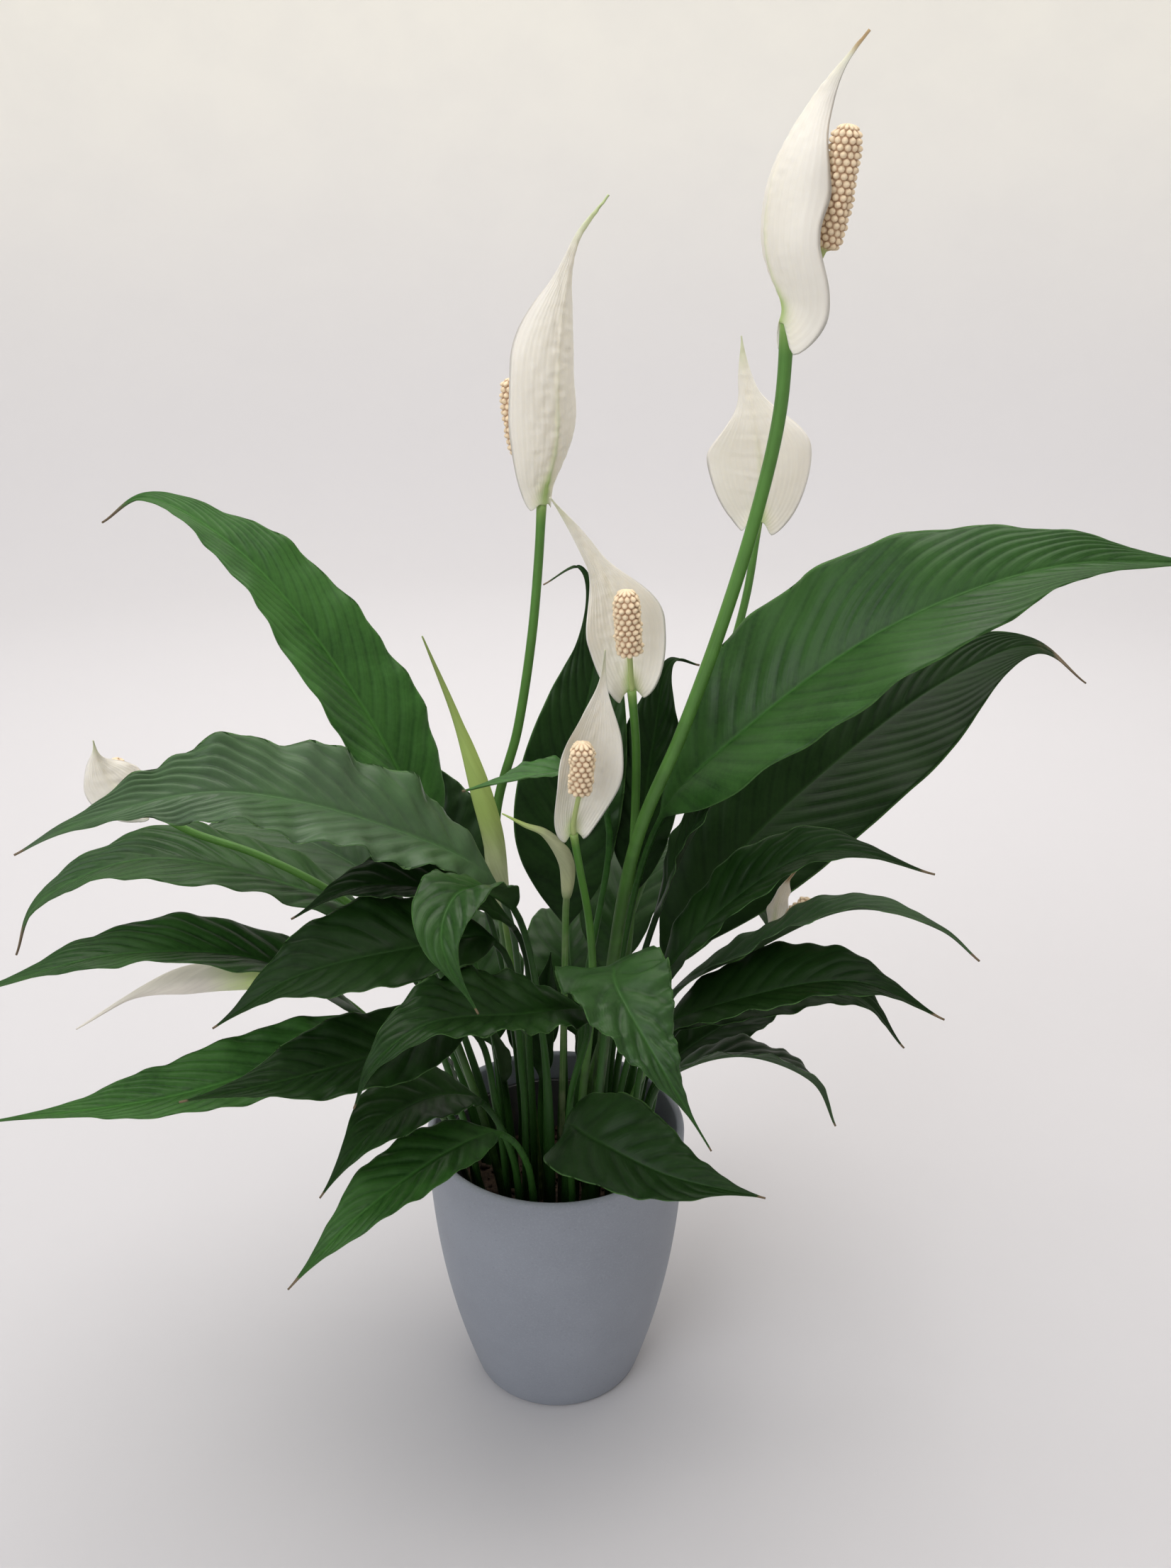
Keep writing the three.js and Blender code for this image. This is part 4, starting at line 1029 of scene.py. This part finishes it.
def spike_skin(flower, settings, seed):
    """Rings and marks of a spike: a round neck, then a blunt rod covered in knobs.

    The knobs' middles lie on two lattices, one shifted by half a step each way, so that
    each has six neighbours. A point stands out by the knob height times sqrt(1 - d^2), d
    being its distance from the nearest middle as a share of the knob's radius. The end is
    a half ellipse, and its knobs shrink with it.
    """
    random = np.random.default_rng(seed)
    path, _ = seated(flower, 0.3, flower["spadix"])
    start = 0.9 * path.share_at(2)
    body_length = path.length * (1 - start)
    radius = flower["spadix_radius"] * MM
    neck_radius = flower["radii"][1] * MM * 0.62
    knob = settings.knob_height
    core = radius - 0.75 * knob
    even = np.linspace(0, 1, 170)
    crowded = 0.6 * even + 0.4 * np.sin(even * math.pi / 2)
    t = np.concatenate([np.linspace(-1, 0, 10, endpoint=False), crowded])[:, None]
    share = np.where(t < 0, start * (1 + t), start + (1 - start) * t)
    dome = 1.15 * core / body_length
    end = np.sqrt(np.clip(1 - (np.clip(t - 1 + dome, 0, 1) / dome) ** 2, 0, 1))
    rod = core * (0.94 + 0.06 * np.sin(math.pi * t))
    size = neck_radius + (rod - neck_radius) * smoothstep(0, 0.07, t)
    size = np.maximum(size * end, 0.0001)
    spacing = settings.knob_spacing
    around = max(8, round(2 * math.pi * core / spacing))
    columns = 11 * around
    turn = np.arange(columns)[None, :] / columns
    u = turn * around + 0.1 * np.sin(7 * t)
    v = t * body_length / spacing
    tall = 1.72  # a lattice's step up the spike, in steps round it

    def lump(shift):
        du = u - shift - np.round(u - shift)
        dv = v - shift * tall - tall * np.round((v - shift * tall) / tall)
        return np.sqrt(np.clip(1 - (du**2 + dv**2) / 0.47**2, 0, 1))

    height = np.maximum(lump(0.0), lump(0.5))
    uneven = 1 + 0.25 * ripples(u, v, 2.4, seed, 6)
    covered = smoothstep(0.01, 0.05, t) * end**0.7
    standing = size + knob * (1.15 * height * uneven * covered - 0.12 * covered)
    standing = np.maximum(standing, 0.0001)
    rings = tube(path, share[:, 0], standing, 2 * math.pi * turn, random.random())
    return rings, spread(standing.shape, knob=np.maximum(height, 1 - end) * (t > 0),
                         neck=1 - smoothstep(0.0, 0.04, t))


def stalk_skin(flower):
    """Rings and marks of a bare stalk: a circle with shallow ridges that narrows upwards and
    flares a little under the flower."""
    foot, top = (radius * MM for radius in flower["radii"])
    share = np.linspace(0, 1, 110)
    turn = 2 * math.pi * np.arange(20) / 20
    along = share[:, None]
    radius = foot + (top - foot) * along + 0.1 * top * smoothstep(0.96, 1, along)
    radius = radius * (1 + 0.02 * np.cos(7 * turn + 3 * along))
    rings = tube(Path(rooted(flower["scape"])), share, radius, turn)
    return rings, spread(radius.shape, along=along, round=np.sin(turn) + 0.3 * np.cos(2 * turn))


def bud_skin(bud, seed):
    """Rings and marks of a bud on its stalk.

    The radius swells along the bud as the hood's outline does, less its tail. Round each
    ring it grows by a share that climbs once round and drops back, the edge of the rolled
    hood, and that edge winds along the bud.
    """
    random = np.random.default_rng(seed)
    path = Path(rooted(bud["path"]))
    start = bud["start"]
    share = np.concatenate([np.linspace(0, start, 40, endpoint=False),
                            np.linspace(start, 1, 110)])
    turn = np.arange(64) / 64
    t = np.clip((share - start) / (1 - start), 0, 1)[:, None]
    swell = (bud["bud_radius"] - bud["radius"]) * outline(t, HOOD_OUTLINE)
    swell *= 1 - bud["tail"] * smoothstep(0.42, 0.78, t)
    size = (bud["radius"] * (1 + (RIB_TIP_TAPER - 1) * t) + swell) * MM
    winding = (turn + 1.1 * t + random.random()) % 1
    edge = winding ** 3 * (1 - smoothstep(0.93, 1, winding))
    folds = 0.03 * np.cos(2 * math.pi * 5 * turn + 4 * t)
    rolled = smoothstep(0, 0.15, t) * (1 - smoothstep(0.9, 1, t))
    size = size * (1 + rolled * (0.16 * edge + folds - 0.05))
    along = np.where(share < start, share / start - 1, 0)[:, None] + t
    rings = tube(path, share, size, 2 * math.pi * turn)
    return rings, spread(size.shape, along=along, round=winding)


# ---- pots and soil ------------------------------------------------------------------


def pot_radius(height):
    """The ceramic pot's outer radius: full at the rim, turning in faster towards the foot."""
    bulge = 1 - (1 - height / POT_HEIGHT) ** POT_BULGE
    radius = POT_FOOT_RADIUS + (POT_RIM_RADIUS - POT_FOOT_RADIUS) * bulge
    edge = np.clip(1 - height / POT_FOOT_EDGE, 0, 1)
    return radius - POT_FOOT_EDGE * (1 - np.sqrt(1 - edge * edge))


def nursery_foot():
    """The nursery pot's radius at its foot, which clears the ceramic pot's inside."""
    return pot_radius(POT_FLOOR) - 2 * CERAMIC_WALL - NURSERY_GAP


def ceramic_profile(wall):
    """From under the foot, up the outside, over a round lip and down the inside."""
    lip = wall / 2
    top = POT_HEIGHT - lip
    foot = POT_FOOT_EDGE * (1 - np.cos(np.linspace(0, math.pi / 2, 6)))
    outside = np.concatenate([foot, np.linspace(POT_FOOT_EDGE, top, 40)[1:]])
    turn = np.linspace(0, math.pi, 13)[1:-1]
    inside = np.linspace(top, POT_FLOOR + wall, 24)
    corner = np.linspace(0, math.pi / 2, 5)[1:]
    inner = pot_radius(POT_FLOOR + wall) - wall
    return np.vstack([
        [(pot_radius(0.0) * 0.5, 0)],
        np.stack([pot_radius(outside), outside], axis=1),
        np.stack([pot_radius(top) - lip + lip * np.cos(turn), top + lip * np.sin(turn)], axis=1),
        np.stack([pot_radius(inside) - wall, inside], axis=1),
        np.stack([inner - wall * (1 - np.cos(corner)),
                  POT_FLOOR + wall * (1 - np.sin(corner))], axis=1),
        [(inner * 0.5, POT_FLOOR)],
    ])


def nursery_profile():
    """From under the floor, up the wall and the rim band and down the inside."""
    bottom, top = NURSERY_LOW.z, NURSERY_HIGH.z
    rim_wall = NURSERY_RIM_RADIUS - NURSERY_RIM_STEP
    foot = nursery_foot()
    wall_at = lambda height: foot + (rim_wall - foot) * (height - bottom) / (top - bottom)
    under = bottom + NURSERY_FEET
    floor = under + NURSERY_FLOOR
    band = top - NURSERY_RIM_HEIGHT
    round_off = 0.0004
    return [
        (foot - 2 * NURSERY_WALL, under), (foot - NURSERY_WALL, bottom), (foot, bottom),
        (foot + 0.0002, bottom + round_off), (wall_at(band), band - round_off),
        (wall_at(band) + round_off, band),
        (NURSERY_RIM_RADIUS - round_off, band), (NURSERY_RIM_RADIUS, band + round_off),
        (NURSERY_RIM_RADIUS, top - round_off), (NURSERY_RIM_RADIUS - round_off, top),
        (wall_at(top) - NURSERY_WALL + round_off, top),
        (wall_at(top) - NURSERY_WALL, top - round_off),
        (wall_at(floor) - NURSERY_WALL, floor),
    ]


def soil_skin():
    """Rings of the root ball: its side, then its top lowered and raised by soft ripples.

    A top point at radius r and angle a stands at the soil's level plus the sum of two sizes
    of ripples, eased out at the edge.
    """
    bottom = SOIL_LOW.z
    clearance = 2 * CERAMIC_WALL + NURSERY_GAP + NURSERY_WALL
    low_radius = min(SOIL_RADIUS, pot_radius(bottom) - clearance)
    side = [(low_radius + (SOIL_RADIUS - low_radius) * share,
             bottom + (SOIL_LEVEL - bottom) * share) for share in np.arange(8) / 8]
    rim = [(low_radius * 0.5, bottom), *side, (SOIL_RADIUS, SOIL_LEVEL - 0.002)]
    inward = [(SOIL_RADIUS * share, SOIL_LEVEL) for share in np.linspace(0.995, 0.0, 70)[:-1]]
    rings = lathe(rim + inward, 160)
    top = rings[len(rim):]
    x, y = top[..., 0], top[..., 1]
    lumps = 0.0016 * ripples(x, y, 0.022, SEED) + 0.0007 * ripples(x, y, 0.006, SEED + 1, 16)
    eased = smoothstep(1.0, 0.93, np.hypot(x, y) / SOIL_RADIUS)
    top[..., 2] += lumps * eased - 0.001 * (1 - eased)
    return rings


def crumbs_on(count):
    """Points and quads of loose crumbs: small rounded lumps strewn over the soil's top.

    Each is a seven by six sphere, squashed and turned at random, its points pushed in and
    out by up to a quarter.
    """
    random = np.random.default_rng(SEED + 2)
    rise = np.linspace(0, math.pi, 7)[1:-1]
    turn = 2 * math.pi * np.arange(6) / 6
    ball = np.stack([np.sin(rise)[:, None] * np.cos(turn), np.sin(rise)[:, None] * np.sin(turn),
                     np.broadcast_to(np.cos(rise)[::-1, None], (5, 6))], axis=-1)
    points, quads, triangles = skin(ball)
    radius = SOIL_RADIUS * 0.97 * np.sqrt(random.random(count))
    around = 2 * math.pi * random.random(count)
    size = (0.0006 + 0.0018 * random.random(count) ** 3)[:, None, None]
    squash = 0.5 + 0.7 * random.random((count, 1, 3))
    pushed = 0.85 + 0.3 * random.random((count, len(points), 1))
    axes = np.linalg.qr(random.standard_normal((count, 3, 3)))[0]
    axes *= np.sign(np.linalg.det(axes))[:, None, None]
    lumps = np.einsum("nij,npj->npi", axes, points[None] * squash * pushed) * size
    x, y = radius * np.cos(around), radius * np.sin(around)
    z = SOIL_LEVEL + 0.0016 * ripples(x, y, 0.022, SEED) + size[:, 0, 0] * 0.35
    lumps += np.stack([x, y, z], axis=-1)[:, None]
    return lumps.reshape(-1, 3), *copied(len(points), quads, triangles, count)


# ---- operators ----------------------------------------------------------------------


class LILY_OT_add_camera(bpy.types.Operator):
    """Add the camera, a little above the plant and looking down at it"""

    bl_idname = "lily.add_camera"
    bl_label = "Camera"

    IMAGE_HEIGHT = 2212
    FOCAL = 2000  # in the same units as the image height
    PLACE = (0.0, -0.688, 0.675)
    DOWN = 22.9
    RIGHT = 1.44

    def execute(self, context):
        data = bpy.data.cameras.new("camera")
        data.sensor_width = 36
        data.lens = self.FOCAL / self.IMAGE_HEIGHT * data.sensor_width
        data.clip_start = 0.01
        camera = bpy.data.objects.new("camera", data)
        camera.location = self.PLACE
        camera.rotation_euler = (math.radians(90 - self.DOWN), 0, math.radians(-self.RIGHT))
        context.scene.collection.objects.link(camera)
        context.scene.camera = camera
        return {"FINISHED"}


class LILY_OT_add_stage(bpy.types.Operator):
    """Add the pale floor, which curves up all round, and soft studio light"""

    bl_idname = "lily.add_stage"
    bl_label = "Stage"

    FLAT = 1.9  # radius of the flat floor
    CURVE = 1.6  # radius of the curve up to the wall
    WALL = 3.4  # height of the wall
    # Each light's name, its place, what it's aimed at, its size and its colour.
    LIGHTS = (
        ("ceiling", (0.1, 0.3, 2.6), (0, 0, 0.2), 2.6, (1.0, 0.96, 0.9)),
        ("window", (-1.5, -1.9, 1.7), (0, 0, 0.35), 1.8, (0.94, 0.97, 1.0)),
        ("wall", (0, 1.0, 2.5), (0, 3.1, 0.9), 1.8, (1.0, 0.97, 0.93)),
    )

    def execute(self, context):
        look = context.scene.lily_stage
        bend = np.linspace(0, math.pi / 2, 24)
        radius = np.concatenate([[0.001, self.FLAT / 2], self.FLAT + self.CURVE * np.sin(bend),
                                 [self.FLAT + self.CURVE]])
        height = np.concatenate([[0, 0], self.CURVE * (1 - np.cos(bend)), [self.WALL]])
        sides = 96
        rings = lathe(np.stack([radius, height], axis=1), sides)[:, ::-1]
        points, quads, triangles = skin(rings)
        middle = triangles[:sides]
        floor = bpy.data.objects.new("floor", make_mesh("floor", points, quads, middle))
        floor.data.materials.append(floor_finish(look))
        context.scene.collection.objects.link(floor)
        for name, place, target, size, tint in self.LIGHTS:
            power = getattr(look, name + "_power")
            self.light(context, name + " light", place, target, size, power, tint)
        world = bpy.data.worlds.new("sky")
        world.use_nodes = True
        sky = world.node_tree.nodes["Background"]
        sky.inputs["Color"].default_value = (0.95, 0.97, 1.0, 1)
        sky.inputs["Strength"].default_value = look.sky
        context.scene.world = world
        context.scene.view_settings.view_transform = "Standard"
        return {"FINISHED"}

    def light(self, context, name, place, target, size, power, tint):
        data = bpy.data.lights.new(name, "AREA")
        data.size = size
        data.energy = power
        data.color = tint
        lamp = bpy.data.objects.new(name, data)
        lamp.location = place
        back = [a - b for a, b in zip(place, target)]
        lamp.rotation_euler = (math.atan2(math.hypot(back[0], back[1]), back[2]), 0,
                               math.atan2(back[0], -back[1]))
        lamp.visible_camera = False
        context.scene.collection.objects.link(lamp)


class LILY_OT_add_ceramic_pot(bpy.types.Operator):
    """Add the glazed ceramic pot, turned from its outline"""

    bl_idname = "lily.add_ceramic_pot"
    bl_label = "Ceramic Pot"

    def execute(self, context):
        look = context.scene.lily_pot
        rings = lathe(ceramic_profile(look.wall), look.sides)
        show_skin("ceramic_pot", rings, {}, glaze_finish(look), "ceramic", "decorative_pot")
        return {"FINISHED"}


class LILY_OT_add_nursery_pot(bpy.types.Operator):
    """Add the thin black pot inside, with its drain holes"""

    bl_idname = "lily.add_nursery_pot"
    bl_label = "Nursery Pot"

    def execute(self, context):
        look = context.scene.lily_pot
        rings = lathe(nursery_profile(), look.sides // 2)
        piece = show_skin("thin_nursery_pot", rings, {}, plastic_finish(look), "black_plastic",
                          "nursery_pot")
        drills = self.drills(context)
        cut = piece.modifiers.new("drain holes", "BOOLEAN")
        cut.operation = "DIFFERENCE"
        cut.object = drills
        cut.solver = "EXACT"
        context.view_layer.update()
        evaluated = piece.evaluated_get(context.evaluated_depsgraph_get())
        drilled = bpy.data.meshes.new_from_object(evaluated)
        piece.modifiers.clear()
        piece.data = drilled
        bpy.data.objects.remove(drills)
        return {"FINISHED"}

    def drills(self, context):
        """Six short rods in a ring through the floor."""
        ring = DRAIN_HOLE_RING * (pot_radius(POT_FLOOR) - 0.012)
        depth = 3 * NURSERY_FLOOR
        middle = NURSERY_LOW.z + NURSERY_FEET + NURSERY_FLOOR / 2
        ends = [(DRAIN_HOLE_RADIUS, middle + side * depth / 2) for side in (-1, 1)]
        points, quads, triangles = skin(lathe(ends, 24))
        turns = 2 * math.pi * np.arange(DRAIN_HOLES) / DRAIN_HOLES
        shifts = np.stack([ring * np.cos(turns), ring * np.sin(turns), 0 * turns], axis=-1)
        mesh = make_mesh("drills", (points[None] + shifts[:, None]).reshape(-1, 3),
                         *copied(len(points), quads, triangles, DRAIN_HOLES))
        drills = bpy.data.objects.new("drills", mesh)
        context.scene.collection.objects.link(drills)
        return drills


class LILY_OT_add_soil(bpy.types.Operator):
    """Add the root ball with its rough top and loose crumbs"""

    bl_idname = "lily.add_soil"
    bl_label = "Soil"

    def execute(self, context):
        look = context.scene.lily_pot
        points, quads, triangles = skin(soil_skin())
        loose, more_quads, more_triangles = crumbs_on(look.crumbs)
        mesh = make_mesh("root_ball", np.vstack([points, loose]),
                         np.vstack([quads, more_quads + len(points)]),
                         np.vstack([triangles, more_triangles + len(points)]))
        show(mesh, peat_finish(look), "soil")
        return {"FINISHED"}


class LILY_OT_add_leaves(bpy.types.Operator):
    """Add every leaf with its stalk"""

    bl_idname = "lily.add_leaves"
    bl_label = "Leaves"

    def execute(self, context):
        settings = context.scene.lily_leaf
        green = leaf_finish(settings)
        for number, (name, leaf) in enumerate(LEAVES.items()):
            rings, marks = leaf_skin({**USUAL_LEAF, **leaf}, settings, SEED + 10 + number)
            show_skin(name + "_blade", rings, marks, green, "leaf", name)
        for number, (name, leaf) in enumerate(YOUNG_LEAVES.items()):
            rings, marks = leaf_skin({**YOUNG_LEAF, **leaf}, settings, SEED + 200 + number)
            show_skin(name, rings, marks, green, "leaf")
        return {"FINISHED"}


class LILY_OT_add_flowers(bpy.types.Operator):
    """Add every flower: its bare stalk, its hood and its knobbly spike"""

    bl_idname = "lily.add_flowers"
    bl_label = "Flowers"

    def execute(self, context):
        settings = context.scene.lily_flower
        ivory, green, cream = hood_finish(settings), stalk_finish(settings), spike_finish(settings)
        for number, (name, flower) in enumerate(FLOWERS.items()):
            flower = {**USUAL_FLOWER, **flower}
            seed = SEED + 60 + 3 * number
            show_skin(name + "_stalk", *stalk_skin(flower), green, "stalk", name + "_scape")
            show_skin(name + "_hood", *hood_skin(flower, settings, seed), ivory, "spathe",
                      name + "_spathe")
            show_skin(name + "_spike", *spike_skin(flower, settings, seed + 1), cream, "spadix",
                      name + "_spadix")
        return {"FINISHED"}


class LILY_OT_add_buds(bpy.types.Operator):
    """Add the three buds, each with its stalk"""

    bl_idname = "lily.add_buds"
    bl_label = "Buds"

    def execute(self, context):
        look = context.scene.lily_flower
        pale = scaled(look.bud_green, 1.5)
        finishes = {
            "bud_furled": bud_finish(look, "furled bud", (0.62, 0.66, 0.42), look.bud_green,
                                     scaled(look.bud_green, 0.5)),
            "bud_withered": bud_finish(look, "withered bud", (0.55, 0.58, 0.33), (0.5, 0.52, 0.32),
                                       pale),
            "bud_closed_left": bud_finish(look, "closed bud", pale, look.ivory,
                                          scaled(look.ivory, 0.95)),
        }
        for number, (name, bud) in enumerate(BUDS.items()):
            slot = "spathe" if name == "bud_closed_left" else "bud"
            rings, marks = bud_skin(bud, SEED + 90 + number)
            show_skin(name + "_skin", rings, marks, finishes[name], slot, name)
        return {"FINISHED"}


class LILY_PT_build(bpy.types.Panel):
    """The lily's sizes, colours and pieces"""

    bl_label = "Peace Lily"
    bl_idname = "LILY_PT_build"
    bl_space_type = "VIEW_3D"
    bl_region_type = "UI"
    bl_category = "Lily"

    def draw(self, context):
        for operator in OPERATORS:
            self.layout.operator(operator.bl_idname)
        for name, group in SETTINGS.items():
            box = self.layout.box()
            for key in group.__annotations__:
                box.prop(getattr(context.scene, name), key)


OPERATORS = (
    LILY_OT_add_camera,
    LILY_OT_add_stage,
    LILY_OT_add_ceramic_pot,
    LILY_OT_add_nursery_pot,
    LILY_OT_add_soil,
    LILY_OT_add_leaves,
    LILY_OT_add_flowers,
    LILY_OT_add_buds,
)


def register():
    for group in (*SETTINGS.values(), *OPERATORS, LILY_PT_build):
        bpy.utils.register_class(group)
    for name, group in SETTINGS.items():
        setattr(bpy.types.Scene, name, PointerProperty(type=group))


def unregister():
    for name in SETTINGS:
        delattr(bpy.types.Scene, name)
    for group in (LILY_PT_build, *reversed(OPERATORS), *SETTINGS.values()):
        bpy.utils.unregister_class(group)


def main():
    register()
    for operator in OPERATORS:
        module, name = operator.bl_idname.split(".")
        getattr(getattr(bpy.ops, module), name)()


if __name__ == "__main__":
    main()
